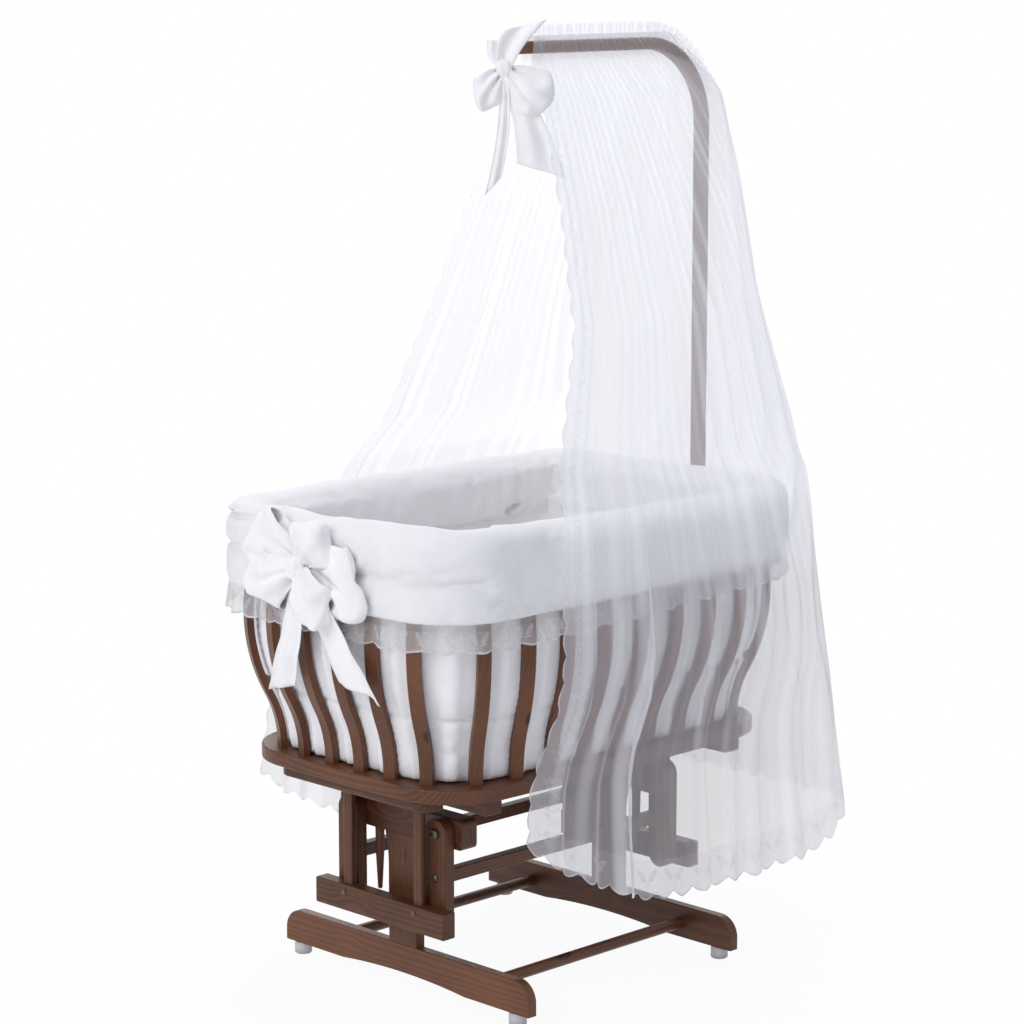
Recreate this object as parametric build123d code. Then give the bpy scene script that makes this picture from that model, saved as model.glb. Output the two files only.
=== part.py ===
from build123d import *
import math
import os

# Bedside crib on a gliding base, with a canopy pole at its rear end. Millimetres, +Z up.
# Origin: on the floor under the centre of the crib. The short ends face -X (front) and +X (rear, with the
# pole), the long sides face -Y (near) and +Y (far).

# Fixed base
RAIL_OUTER_X = 258
RAIL_LENGTH = 600
RAIL_BOTTOM = 20
RAIL_TOP = 77
RAIL_CORNER_R = 36
BOARD_T = 20
ARCH_HALF = 150
ARCH_RISE = 8
GLIDE_Y = 266
GLIDE_R = 15
GLIDE_STEM_R = 4
GLIDE_STEM = 22
DOWEL_Y = 182
DOWEL_Z = 46
DOWEL_R = 10
DOWEL_TENON_R = 7
DOWEL_TENON = 14
POST_HALF = 34
POST_FLARE_HALF = 42
POST_FLARE_Z = 215
TENON_T = 10
TENON_HALF = 22
TENON_L = 30
HEAD_OUTER_X = 261
HEAD_INNER_X = 228
HEAD_HALF = 150
HEAD_BOTTOM = 270
HEAD_TOP = 322
PEG_Y = 69
PEG_TOP_R = 8
PEG_TIP_R = 4
PEG_LENGTH = 112
PEG_TENON_R = 6
PEG_TENON = 18

# Swing arms and their pivots
PIVOT_Y = 107
UPPER_PIVOT_Z = 297
LOWER_PIVOT_Z = 152
ARM_OUTER_X = 283
ARM_WIDTH = 50
ARM_BAR_BOTTOM = 210
ARM_BAR_TOP = 232
ARM_BAR_WIDTH = 20
BUSH_R = 8
BUSH_FLANGE_R = 13
BUSH_FLANGE_T = 1.8
BOLT_R = 5
RUNNING_CLEARANCE = 0.05
FACE_CLEARANCE = 0.2
WASHER_R = 11
WASHER_T = 1.5
BOLT_HEAD_R = 9
BOLT_HEAD_H = 4.5
NUT_R = 9.2
NUT_H = 8
BAR_BOLT_R = 3
BAR_BOLT_HEAD_R = 6.5
BAR_BOLT_HEAD_H = 3.5
BAR_BOLT_L = 60

# Basket carrier
CROSS_OUTER_X = 313
CROSS_INNER_X = 285
CROSS_HALF = 158
CROSS_BOTTOM = 130
CROSS_TOP = 175
CARRIER_POST_Y = 86
CARRIER_POST_W = 21
CARRIER_POST_T = 12
CARRIER_POST_X = 298
CARRIER_TENON = 25
SCREW_R = 2.5
SCREW_HEAD_R = 5
SCREW_Z = 162
BATTEN_OUTER_X = 307
BATTEN_INNER_X = 272
BATTEN_HALF = 253
BATTEN_BOTTOM = 359
CLEAT_OUTER_X = 375
CLEAT_INNER_X = 335
CLEAT_HALF = 182
CLEAT_BOTTOM = 362

# Basket
BOARD_BOTTOM = 385
BOARD_TOP = 409
BOARD_HALF_X = 402
BOARD_HALF_Y = 272
BOARD_CORNER_R = 116
OUTLINE_BOW = 10
VENT_R = 14
SLAT_HALF_X = 381
SLAT_HALF_Y = 251
SLAT_CORNER_R = 95
SLAT_W = 22
SLAT_T = 12
SLAT_MORTISE = 12
SLAT_FOOT_Z = 414
SLAT_PEAK_Z = 643
SLAT_SWEEP = 56
SLAT_LOWER_R = 192
SLAT_UPPER_TURN = 9.4
SIDE_PITCH = 78
SIDE_FAN = 0.103
END_PITCH = 71
END_FAN = 0.15
RIM_BOTTOM = 770
RIM_TOP = 790
RIM_HALF_X = 420
RIM_HALF_Y = 290
RIM_W = 32
RIM_CORNER_R = 95

# Canopy pole
POLE_X = 476
POLE_SIDE = 21
POLE_EDGE_R = 2.5
POLE_BEND_R = 145
POLE_ARM_Z = 1570
POLE_TIP_X = -24
FOOT_BLOCK_HALF = 42
FOOT_BLOCK_END_X = 496
FOOT_BOLT_Y = 16.5
UPPER_BLOCK_BOTTOM = 598
UPPER_BLOCK_TOP = 634
UPPER_BLOCK_HALF = 60
STRAP_T = 2
STRAP_EAR = 22

# Textiles
HEM_Z = 690
COVER_TOP = 842
COVER_HALF_X = 446
COVER_HALF_Y = 320
COVER_CORNER_R = 85
COVER_INNER_X = 376
COVER_INNER_Y = 250
FLAP_BOTTOM = 744
FLAP_CORNER_R = 110
RUFFLE_DROP = 45
RUFFLE_T = 2
LINER_T = 10
LINER_FLOOR = 6
MATTRESS_T = 50
BOW_GAP = 1.2
BOW_DEPTH = 66.8
BOW_Z = 759
TAIL_T = 8
POLE_BOW_X = 17
POLE_BOW_BAND = 5
NET_T = 2.5
NET_TOP = 1586
NET_RIM_Z = 845
NET_RIM_HALF_Y = 332
NET_REAR_X = 514
NET_RIDGE_HALF = 14


def block(x0, x1, y0, y1, z0, z1):
    """A box between two corners."""
    return Pos((x0 + x1) / 2, (y0 + y1) / 2, (z0 + z1) / 2) * Box(abs(x1 - x0), abs(y1 - y0), abs(z1 - z0))


def rod_x(radius, x0, x1, y, z):
    """A round bar along X."""
    return Pos((x0 + x1) / 2, y, z) * Rot(0, 90, 0) * Cylinder(radius, abs(x1 - x0))


def rod_z(radius, x, y, z0, z1):
    """An upright round bar."""
    return Pos(x, y, (z0 + z1) / 2) * Cylinder(radius, abs(z1 - z0))


def plate_x(profile, x0, x1):
    """A YZ profile made into a board between two X faces."""
    return extrude(Plane.YZ.offset(min(x0, x1)) * profile, abs(x1 - x0))


def plate_z(profile, z0, z1):
    """An XY profile made into a board between two heights."""
    return extrude(Plane.XY.offset(z0) * profile, z1 - z0)


def bowed_rectangle(half_x, half_y, corner_r, bow=OUTLINE_BOW):
    """A rectangle with slightly bowed sides and round corners."""
    cx = half_x - bow
    cy = half_y - bow
    sides = [
        ThreePointArc((-cx, -cy), (0, -half_y), (cx, -cy)),
        ThreePointArc((cx, -cy), (half_x, 0), (cx, cy)),
        ThreePointArc((cx, cy), (0, half_y), (-cx, cy)),
        ThreePointArc((-cx, cy), (-half_x, 0), (-cx, -cy)),
    ]
    face = make_face(sides)
    return fillet(face.vertices(), corner_r)


def round_long_edges(solid, axis, radius):
    """Rounds the edges that run along one axis."""
    return fillet(solid.edges().filter_by(axis), radius)


def to_rear(shape):
    """The twin of a front-end piece at the rear end."""
    return mirror(shape, Plane.YZ)


def save(node, *shapes):
    """Writes one node, as one solid or as a group of separate solids."""
    solids = [solid for shape in shapes for solid in shape.solids()]
    shape = solids[0] if len(solids) == 1 else Compound(solids)
    export_step(shape, f"parts/{node}.step")


# Foot rails: 20 mm boards with round upper corners and a shallow arch below
def foot_rail():
    half = RAIL_LENGTH / 2
    outline = make_face([
        Line((-half, RAIL_BOTTOM), (-ARCH_HALF, RAIL_BOTTOM)),
        ThreePointArc((-ARCH_HALF, RAIL_BOTTOM), (0, RAIL_BOTTOM + ARCH_RISE), (ARCH_HALF, RAIL_BOTTOM)),
        Line((ARCH_HALF, RAIL_BOTTOM), (half, RAIL_BOTTOM)),
        Line((half, RAIL_BOTTOM), (half, RAIL_TOP)),
        Line((half, RAIL_TOP), (-half, RAIL_TOP)),
        Line((-half, RAIL_TOP), (-half, RAIL_BOTTOM)),
    ])
    top_corners = outline.vertices().group_by(Axis.Y)[-1]
    outline = fillet(top_corners, RAIL_CORNER_R)
    rail = plate_x(outline, -RAIL_OUTER_X, -RAIL_OUTER_X + BOARD_T)
    upper_edges = rail.edges().filter_by(lambda edge: edge.bounding_box().max.Z > RAIL_TOP - RAIL_CORNER_R + 1)
    rail = fillet(upper_edges.filter_by(Axis.X, reverse=True), 2.5)
    rail -= post_tenon(RAIL_TOP - TENON_L, RAIL_TOP)
    for side in (-1, 1):
        rail -= rod_z(GLIDE_STEM_R, rail_mid_x(), side * GLIDE_Y, RAIL_BOTTOM, RAIL_BOTTOM + GLIDE_STEM)
        rail -= rod_x(DOWEL_TENON_R, -RAIL_OUTER_X, -RAIL_OUTER_X + BOARD_T, side * DOWEL_Y, DOWEL_Z) & block(
            -RAIL_OUTER_X + BOARD_T - DOWEL_TENON, 0, -RAIL_LENGTH, RAIL_LENGTH, 0, RAIL_TOP)
    return rail


def rail_mid_x():
    return -RAIL_OUTER_X + BOARD_T / 2


# Floor glides: a chamfered disc with a stem pressed into the rail
def glide(x, y):
    disc = rod_z(GLIDE_R, x, y, 0, RAIL_BOTTOM)
    disc = chamfer(disc.edges().filter_by(GeomType.CIRCLE), 2)
    return disc + rod_z(GLIDE_STEM_R, x, y, RAIL_BOTTOM - 1, RAIL_BOTTOM + GLIDE_STEM)


# Stretchers: round dowels with a thinner tenon in each rail
def stretcher(y):
    reach = RAIL_OUTER_X - BOARD_T
    bar = rod_x(DOWEL_R, -reach, reach, y, DOWEL_Z)
    return bar + rod_x(DOWEL_TENON_R, -reach - DOWEL_TENON, reach + DOWEL_TENON, y, DOWEL_Z)


# Posts: flat boards on the rails, wider where they meet the head board
def post_tenon(z0, z1):
    mid = rail_mid_x()
    return block(mid - TENON_T / 2, mid + TENON_T / 2, -TENON_HALF, TENON_HALF, z0, z1)


def post():
    flare_mid = (POST_HALF + (POST_FLARE_HALF - POST_HALF) * 0.3, (POST_FLARE_Z + HEAD_BOTTOM) / 2)
    outline = make_face([
        Line((-POST_HALF, RAIL_TOP), (POST_HALF, RAIL_TOP)),
        Line((POST_HALF, RAIL_TOP), (POST_HALF, POST_FLARE_Z)),
        ThreePointArc((POST_HALF, POST_FLARE_Z), flare_mid, (POST_FLARE_HALF, HEAD_BOTTOM)),
        Line((POST_FLARE_HALF, HEAD_BOTTOM), (-POST_FLARE_HALF, HEAD_BOTTOM)),
        ThreePointArc((-POST_FLARE_HALF, HEAD_BOTTOM), (-flare_mid[0], flare_mid[1]), (-POST_HALF, POST_FLARE_Z)),
        Line((-POST_HALF, POST_FLARE_Z), (-POST_HALF, RAIL_TOP)),
    ])
    board = plate_x(outline, -RAIL_OUTER_X, -RAIL_OUTER_X + BOARD_T)
    board = round_long_edges(board, Axis.Z, 2)
    board += post_tenon(RAIL_TOP - TENON_L, RAIL_TOP)
    return board + post_tenon(HEAD_BOTTOM, HEAD_BOTTOM + TENON_L)


# Head boards: they carry the swing arms on two bolts and the stop pegs from below
def head_board():
    outline = Pos(0, (HEAD_BOTTOM + HEAD_TOP) / 2) * RectangleRounded(
        2 * HEAD_HALF, HEAD_TOP - HEAD_BOTTOM, 10)
    board = plate_x(outline, -HEAD_OUTER_X, -HEAD_INNER_X)
    board = fillet(board.faces().sort_by(Axis.X)[0].edges(), 2)
    board -= post_tenon(HEAD_BOTTOM, HEAD_BOTTOM + TENON_L)
    for side in (-1, 1):
        board -= rod_x(BOLT_R, -HEAD_OUTER_X, -HEAD_INNER_X, side * PIVOT_Y, UPPER_PIVOT_Z)
        board -= rod_z(PEG_TENON_R, peg_x(), side * PEG_Y, HEAD_BOTTOM, HEAD_BOTTOM + PEG_TENON)
    return board


def peg_x():
    return -(HEAD_OUTER_X + HEAD_INNER_X) / 2


# Stop pegs: turned and tapered, with a tenon in the head board; the lengthwise bars meet them
def stop_peg(y):
    tip_z = HEAD_BOTTOM - PEG_LENGTH
    waist_z = HEAD_BOTTOM - 0.45 * PEG_LENGTH
    outline = make_face([
        Line((0, tip_z), (PEG_TIP_R - 1.5, tip_z)),
        Line((PEG_TIP_R - 1.5, tip_z), (PEG_TIP_R, tip_z + 2)),
        Line((PEG_TIP_R, tip_z + 2), (PEG_TOP_R - 0.8, waist_z)),
        Line((PEG_TOP_R - 0.8, waist_z), (PEG_TOP_R, HEAD_BOTTOM)),
        Line((PEG_TOP_R, HEAD_BOTTOM), (PEG_TENON_R, HEAD_BOTTOM)),
        Line((PEG_TENON_R, HEAD_BOTTOM), (PEG_TENON_R, HEAD_BOTTOM + PEG_TENON)),
        Line((PEG_TENON_R, HEAD_BOTTOM + PEG_TENON), (0, HEAD_BOTTOM + PEG_TENON)),
        Line((0, HEAD_BOTTOM + PEG_TENON), (0, tip_z)),
    ])
    return Pos(peg_x(), y, 0) * revolve(Plane.XZ * outline, Axis.Z)


# Upper pivot hardware: a button-head bolt and washer outside the arm, a washer and nut inside the head board
def upper_bolt(y):
    washer_x = -ARM_OUTER_X - FACE_CLEARANCE - WASHER_T
    bolt = rod_x(WASHER_R, washer_x, washer_x + WASHER_T, y, UPPER_PIVOT_Z)
    bolt += bolt_head(washer_x, -1, y, UPPER_PIVOT_Z)
    return bolt + rod_x(BOLT_R, washer_x, -HEAD_INNER_X + WASHER_T + NUT_H + 2, y, UPPER_PIVOT_Z)


def bolt_head(x, outward, y, z):
    """A low button head with a hexagon socket, standing out from x."""
    head = rod_x(BOLT_HEAD_R, x, x + outward * BOLT_HEAD_H, y, z)
    rim = head.edges().filter_by(GeomType.CIRCLE).sort_by(Axis.X)[0 if outward < 0 else -1]
    head = chamfer(rim, 2.2)
    socket = plate_x(Pos(y, z) * RegularPolygon(3, 6), x + outward * BOLT_HEAD_H, x + outward * (BOLT_HEAD_H - 2.5))
    return head - socket


def upper_nut(y):
    washer_x = -HEAD_INNER_X
    washer = rod_x(WASHER_R, washer_x, washer_x + WASHER_T, y, UPPER_PIVOT_Z)
    nut = plate_x(Pos(y, UPPER_PIVOT_Z) * RegularPolygon(NUT_R, 6), washer_x + WASHER_T, washer_x + WASHER_T + NUT_H)
    return washer + nut - rod_x(BOLT_R, washer_x, washer_x + WASHER_T + NUT_H, y, UPPER_PIVOT_Z)


# Swing arms: flat bars with round ends and a bushed eye at each end
def swing_arm(y):
    inner_x = -ARM_OUTER_X + BOARD_T
    mid_z = (UPPER_PIVOT_Z + LOWER_PIVOT_Z) / 2
    outline = Pos(y, mid_z) * Rot(0, 0, 90) * SlotCenterToCenter(UPPER_PIVOT_Z - LOWER_PIVOT_Z, ARM_WIDTH)
    arm = plate_x(outline, -ARM_OUTER_X, inner_x)
    arm = fillet(arm.faces().sort_by(Axis.X)[0].edges(), 2)
    for z in (UPPER_PIVOT_Z, LOWER_PIVOT_Z):
        arm -= rod_x(BUSH_R, -ARM_OUTER_X, inner_x, y, z)
    return arm - rod_x(BAR_BOLT_R, -ARM_OUTER_X, inner_x, y, arm_bar_z())


def arm_bar_z():
    return (ARM_BAR_BOTTOM + ARM_BAR_TOP) / 2


# Lengthwise bars: square bars between the front and rear arm of one side
def arm_bar(y):
    reach = ARM_OUTER_X - BOARD_T
    half = ARM_BAR_WIDTH / 2
    bar = block(-reach, reach, y - half, y + half, ARM_BAR_BOTTOM, ARM_BAR_TOP)
    bar = round_long_edges(bar, Axis.X, 2)
    for end in (-1, 1):
        bar -= rod_x(BAR_BOLT_R, end * reach, end * (ARM_OUTER_X - BAR_BOLT_L), y, arm_bar_z())
    return bar


def arm_bar_bolt(y):
    head = rod_x(BAR_BOLT_HEAD_R, -ARM_OUTER_X - BAR_BOLT_HEAD_H, -ARM_OUTER_X, y, arm_bar_z())
    head = chamfer(head.edges().filter_by(GeomType.CIRCLE).sort_by(Axis.X)[0], 1.5)
    return head + rod_x(BAR_BOLT_R, -ARM_OUTER_X, -ARM_OUTER_X + BAR_BOLT_L, y, arm_bar_z())


# Pivot bushes: sleeves in the arm's eyes, the flange on the side of the piece that the arm turns against
def pivot_bush(y, z, flange_side):
    inner_x = -ARM_OUTER_X + BOARD_T
    sleeve = rod_x(BUSH_R, -ARM_OUTER_X, inner_x, y, z)
    face_x = inner_x if flange_side > 0 else -ARM_OUTER_X
    sleeve += rod_x(BUSH_FLANGE_R, face_x, face_x + flange_side * BUSH_FLANGE_T, y, z)
    return sleeve - rod_x(BOLT_R + RUNNING_CLEARANCE, -ARM_OUTER_X - 5, inner_x + 5, y, z)


# Lower pivot bolts: from inside through the arm's bush into the cross bar
def lower_bolt(y):
    washer_x = -ARM_OUTER_X + BOARD_T + FACE_CLEARANCE
    bolt = rod_x(WASHER_R, washer_x, washer_x + WASHER_T, y, LOWER_PIVOT_Z)
    bolt += bolt_head(washer_x + WASHER_T, 1, y, LOWER_PIVOT_Z)
    return bolt + rod_x(BOLT_R, lower_bolt_tip_x(), washer_x + WASHER_T, y, LOWER_PIVOT_Z)


def lower_bolt_tip_x():
    return -CROSS_OUTER_X + 7


# Cross bars: they hang on the arms and carry the basket's posts
def cross_bar():
    bar = block(-CROSS_OUTER_X, -CROSS_INNER_X, -CROSS_HALF, CROSS_HALF, CROSS_BOTTOM, CROSS_TOP)
    bar = fillet(bar.edges(), 3)
    for side in (-1, 1):
        bar -= carrier_post(side * CARRIER_POST_Y)
        bar -= carrier_screw(side * CARRIER_POST_Y)
        bar -= rod_x(BOLT_R, lower_bolt_tip_x(), -CROSS_INNER_X, side * PIVOT_Y, LOWER_PIVOT_Z)
    return bar


# Basket posts: slender round-edged uprights, tenoned into the cross bar and standing under the batten
def carrier_post(y):
    section = Pos(-CARRIER_POST_X, y) * RectangleRounded(CARRIER_POST_T, CARRIER_POST_W, 3)
    return plate_z(section, CROSS_TOP - CARRIER_TENON, BATTEN_BOTTOM)


def carrier_screw(y):
    post_face = -CARRIER_POST_X - CARRIER_POST_T / 2
    head = rod_x(SCREW_HEAD_R, -CROSS_OUTER_X - 1.2, -CROSS_OUTER_X + 2, y, SCREW_Z)
    return head + rod_x(SCREW_R, -CROSS_OUTER_X, post_face, y, SCREW_Z)


# Floor battens and end cleats: they double the base board where the posts and the short ends load it
def batten():
    bar = block(-BATTEN_OUTER_X, -BATTEN_INNER_X, -BATTEN_HALF, BATTEN_HALF, BATTEN_BOTTOM, BOARD_BOTTOM)
    lower = bar.faces().sort_by(Axis.Z)[0]
    return fillet(lower.edges(), 3)


def end_cleat():
    cleat = block(-CLEAT_OUTER_X, -CLEAT_INNER_X, -CLEAT_HALF, CLEAT_HALF, CLEAT_BOTTOM, BOARD_BOTTOM)
    outer_corners = cleat.edges().filter_by(Axis.Z).group_by(Axis.X)[0]
    cleat = fillet(outer_corners, 26)
    return fillet(cleat.faces().sort_by(Axis.Z)[0].edges(), 3)


# Slats: thirty equal bent slats. Each stands in a mortise, sweeps outwards to its widest point and leans back
# in to the rim rail. Their planes fan out towards the corners.
def slat_profile():
    """The S-shaped side view in a plane: x is outwards from the foot's centre line, y is up."""
    upper_r = (SLAT_PEAK_Z - SLAT_FOOT_Z) ** 2 / (2 * SLAT_SWEEP) + SLAT_SWEEP / 2 - SLAT_LOWER_R
    turn = math.asin((SLAT_PEAK_Z - SLAT_FOOT_Z) / (SLAT_LOWER_R + upper_r))
    lean = math.radians(SLAT_UPPER_TURN)
    lower_centre = (SLAT_LOWER_R, SLAT_FOOT_Z)
    upper_centre = (SLAT_SWEEP - upper_r, SLAT_PEAK_Z)

    def edge_points(side):
        lower = SLAT_LOWER_R - side
        upper = upper_r + side

        def on_lower(angle):
            return (lower_centre[0] - lower * math.cos(angle), lower_centre[1] + lower * math.sin(angle))

        def on_upper(angle):
            return (upper_centre[0] + upper * math.cos(angle), upper_centre[1] + upper * math.sin(angle))

        lean_start = on_upper(lean)
        top = (lean_start[0] - (RIM_BOTTOM - lean_start[1]) * math.tan(lean), RIM_BOTTOM)
        return [
            (side, BOARD_TOP - SLAT_MORTISE), (side, SLAT_FOOT_Z), on_lower(turn / 2), on_lower(turn),
            on_upper((lean - turn) / 2), lean_start, top,
        ]

    outer = edge_points(SLAT_T / 2)
    inner = edge_points(-SLAT_T / 2)
    edges = [Line(outer[0], inner[0]), Line(outer[6], inner[6])]
    for points in (outer, inner):
        edges += [
            Line(points[0], points[1]),
            ThreePointArc(points[1], points[2], points[3]),
            ThreePointArc(points[3], points[4], points[5]),
            Line(points[5], points[6]),
        ]
    return make_face(edges)


def outline_reach(half_x, half_y, corner_r, along_x=None, along_y=None):
    """Where a bowed rectangle lies at a given x (on a long side) or y (on a short end)."""
    if along_x is not None:
        half_x, half_y = half_y, half_x
    along = along_x if along_x is not None else along_y
    corner_start = half_y - OUTLINE_BOW - corner_r
    if abs(along) <= corner_start:
        return half_x - OUTLINE_BOW * (along / half_y) ** 2
    return half_x - OUTLINE_BOW - corner_r + math.sqrt(corner_r**2 - (abs(along) - corner_start) ** 2)


def slat_places():
    """Foot place and outward direction of each slat, by side of the basket."""
    slat_ring = (SLAT_HALF_X, SLAT_HALF_Y, SLAT_CORNER_R)
    places = {"near_side": [], "far_side": [], "front_end": [], "rear_end": []}
    for step in range(-4, 5):
        x = step * SIDE_PITCH
        y = outline_reach(*slat_ring, along_x=x)
        fan = math.degrees(math.atan(SIDE_FAN * x / SLAT_SWEEP))
        places["near_side"].append((x, -y, -90 + fan))
        places["far_side"].append((x, y, 90 - fan))
    for step in range(6):
        y = (step - 2.5) * END_PITCH
        x = outline_reach(*slat_ring, along_y=y)
        fan = math.degrees(math.atan(END_FAN * y / SLAT_SWEEP))
        places["front_end"].append((-x, y, 180 - fan))
        places["rear_end"].append((x, y, fan))
    return places


def slat_blank():
    profile = Plane.XZ * slat_profile()
    return Pos(0, SLAT_W / 2, 0) * extrude(profile, SLAT_W)


def slat_mortise():
    return block(-SLAT_T / 2, SLAT_T / 2, -SLAT_W / 2, SLAT_W / 2, BOARD_TOP - SLAT_MORTISE, BOARD_TOP)


def placed(shape, place):
    x, y, turn = place
    return Pos(x, y, 0) * Rot(0, 0, turn) * shape


# Base board: one rounded board with a mortise for each slat and ventilation holes
def base_board(places):
    outline = bowed_rectangle(BOARD_HALF_X, BOARD_HALF_Y, BOARD_CORNER_R)
    board = plate_z(outline, BOARD_BOTTOM, BOARD_TOP)
    board = fillet(board.faces().sort_by(Axis.Z)[-1].edges(), 3)
    board = fillet(board.faces().sort_by(Axis.Z)[0].edges(), 3)
    mortises = [placed(slat_mortise(), place) for side in places.values() for place in side]
    vents = [
        rod_z(VENT_R, x, y, BOARD_BOTTOM, BOARD_TOP)
        for x in (-200, -100, 0, 100, 200)
        for y in (-110, 0, 110)
    ]
    return board - mortises - vents


# Rim rail: a ring on top of the slats, hidden under the padded cover
def rim_rail():
    half = RIM_W / 2
    outer = bowed_rectangle(RIM_HALF_X + half, RIM_HALF_Y + half, RIM_CORNER_R + half)
    inner = bowed_rectangle(RIM_HALF_X - half, RIM_HALF_Y - half, RIM_CORNER_R - half)
    ring = plate_z(outer - inner, RIM_BOTTOM, RIM_TOP)
    return fillet(ring.faces().sort_by(Axis.Z)[-1].edges(), 4)


# Canopy pole: square bar bent to a quarter circle, with a level arm over the basket
def canopy_pole():
    bend_start_z = POLE_ARM_Z - POLE_BEND_R
    bend_end = (POLE_X - POLE_BEND_R, 0, POLE_ARM_Z)
    bend_mid = (POLE_X - POLE_BEND_R * (1 - math.sqrt(0.5)), 0, bend_start_z + POLE_BEND_R * math.sqrt(0.5))
    path = Wire([
        Line((POLE_X, 0, BOARD_BOTTOM), (POLE_X, 0, bend_start_z)),
        ThreePointArc((POLE_X, 0, bend_start_z), bend_mid, bend_end),
        Line(bend_end, (POLE_TIP_X, 0, POLE_ARM_Z)),
    ])
    section = Plane.XY.offset(BOARD_BOTTOM) * Pos(POLE_X, 0) * RectangleRounded(POLE_SIDE, POLE_SIDE, POLE_EDGE_R)
    return sweep(section, path)


# Pole fixings: a socket block on the base board's rear edge, and a notched block with a strap on the middle
# slats
def pole_foot_block(board):
    body = block(BOARD_HALF_X - 14, FOOT_BLOCK_END_X, -FOOT_BLOCK_HALF, FOOT_BLOCK_HALF, BOARD_BOTTOM, BOARD_TOP)
    body = fillet(body.edges().filter_by(Axis.Z).group_by(Axis.X)[-1], 14)
    outline = bowed_rectangle(BOARD_HALF_X, BOARD_HALF_Y, BOARD_CORNER_R)
    body -= plate_z(outline, BOARD_BOTTOM - 1, BOARD_TOP + 1)
    half = POLE_SIDE / 2
    body -= block(POLE_X - half, POLE_X + half, -half, half, BOARD_BOTTOM, BOARD_TOP)
    return body - foot_bolts()


def foot_bolts():
    return [
        rod_x(3, BOARD_HALF_X - 40, FOOT_BLOCK_END_X, side * FOOT_BOLT_Y, (BOARD_BOTTOM + BOARD_TOP) / 2)
        for side in (-1, 1)
    ]


def foot_bolt_heads():
    return [
        rod_x(6, FOOT_BLOCK_END_X, FOOT_BLOCK_END_X + 3.5, side * FOOT_BOLT_Y, (BOARD_BOTTOM + BOARD_TOP) / 2)
        for side in (-1, 1)
    ]


def pole_upper_block(rear_slats):
    pole_face = POLE_X - POLE_SIDE / 2
    body = block(SLAT_HALF_X + 52, pole_face, -UPPER_BLOCK_HALF, UPPER_BLOCK_HALF,
                 UPPER_BLOCK_BOTTOM, UPPER_BLOCK_TOP)
    body = fillet(body.faces().sort_by(Axis.X)[-1].edges(), 2.5)
    return body - rear_slats - strap_screws()


def pole_strap():
    half = POLE_SIDE / 2
    pole_face = POLE_X - half
    back = POLE_X + half + 0.1
    z0 = UPPER_BLOCK_BOTTOM + 5
    z1 = UPPER_BLOCK_TOP - 5
    strap = block(back, back + STRAP_T, -half - STRAP_T, half + STRAP_T, z0, z1)
    for side in (-1, 1):
        strap += block(pole_face, back, side * half, side * (half + STRAP_T), z0, z1)
        strap += block(pole_face, pole_face + STRAP_T, side * half, side * (half + STRAP_EAR), z0, z1)
    return strap - strap_screws()


def strap_screws():
    y = POLE_SIDE / 2 + STRAP_EAR * 0.58
    z = (UPPER_BLOCK_BOTTOM + UPPER_BLOCK_TOP) / 2
    pole_face = POLE_X - POLE_SIDE / 2
    return [rod_x(2.5, SLAT_HALF_X + 58, pole_face + STRAP_T, side * y, z) for side in (-1, 1)]


def strap_screw_heads():
    y = POLE_SIDE / 2 + STRAP_EAR * 0.58
    z = (UPPER_BLOCK_BOTTOM + UPPER_BLOCK_TOP) / 2
    x = POLE_X - POLE_SIDE / 2 + STRAP_T
    return [rod_x(4.5, x, x + 2.5, side * y, z) for side in (-1, 1)]


# Mattress and liner: the liner is a padded bag that follows the slats, open at the top
def mattress():
    floor_z = BOARD_TOP + LINER_FLOOR + 0.5
    pad = plate_z(bowed_rectangle(345, 215, 90), floor_z, floor_z + MATTRESS_T)
    return fillet(pad.faces().sort_by(Axis.Z)[-1].edges() + pad.faces().sort_by(Axis.Z)[0].edges(), 14)


def liner():
    foot = (SLAT_HALF_X - 13, SLAT_HALF_Y - 13)
    stations = [(0.3, 0, 110), (61, 10, 115), (131, 36, 130), (201, 53, 145), (271, 52, 145),
                (FLAP_BOTTOM - BOARD_TOP, 36, 130)]

    def bag(thickness, floor):
        levels = [(max(height, floor), spread, corner) for height, spread, corner in stations]
        sections = [
            Plane.XY.offset(BOARD_TOP + height) * bowed_rectangle(
                foot[0] + spread - thickness, foot[1] + spread - thickness, corner - thickness)
            for height, spread, corner in levels
        ]
        return loft(sections, ruled=True)

    return bag(0, 0.3) - bag(LINER_T, LINER_FLOOR)


# Rim cover: an upturned padded channel over the rail and the slats' upper ends
def rim_cover():
    outer = bowed_rectangle(COVER_HALF_X, COVER_HALF_Y, COVER_CORNER_R)
    inner = bowed_rectangle(COVER_INNER_X, COVER_INNER_Y, COVER_CORNER_R)
    roll = plate_z(outer - inner, HEM_Z, COVER_TOP)
    roll = fillet(roll.faces().sort_by(Axis.Z)[-1].edges(), 26)
    hem_gap = bowed_rectangle(SLAT_HALF_X + 60.5, SLAT_HALF_Y + 60.5, SLAT_CORNER_R + 10)
    roll -= plate_z(hem_gap, HEM_Z - 1, HEM_Z + 38)
    rail_half = RIM_W / 2 + 0.5
    upper_gap = bowed_rectangle(RIM_HALF_X + rail_half, RIM_HALF_Y + rail_half, RIM_CORNER_R + rail_half)
    flap = bowed_rectangle(RIM_HALF_X - rail_half, RIM_HALF_Y - rail_half, FLAP_CORNER_R)
    roll -= plate_z(upper_gap, HEM_Z, FLAP_BOTTOM)
    return roll - plate_z(upper_gap - flap, HEM_Z, RIM_TOP + 0.5)


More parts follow.
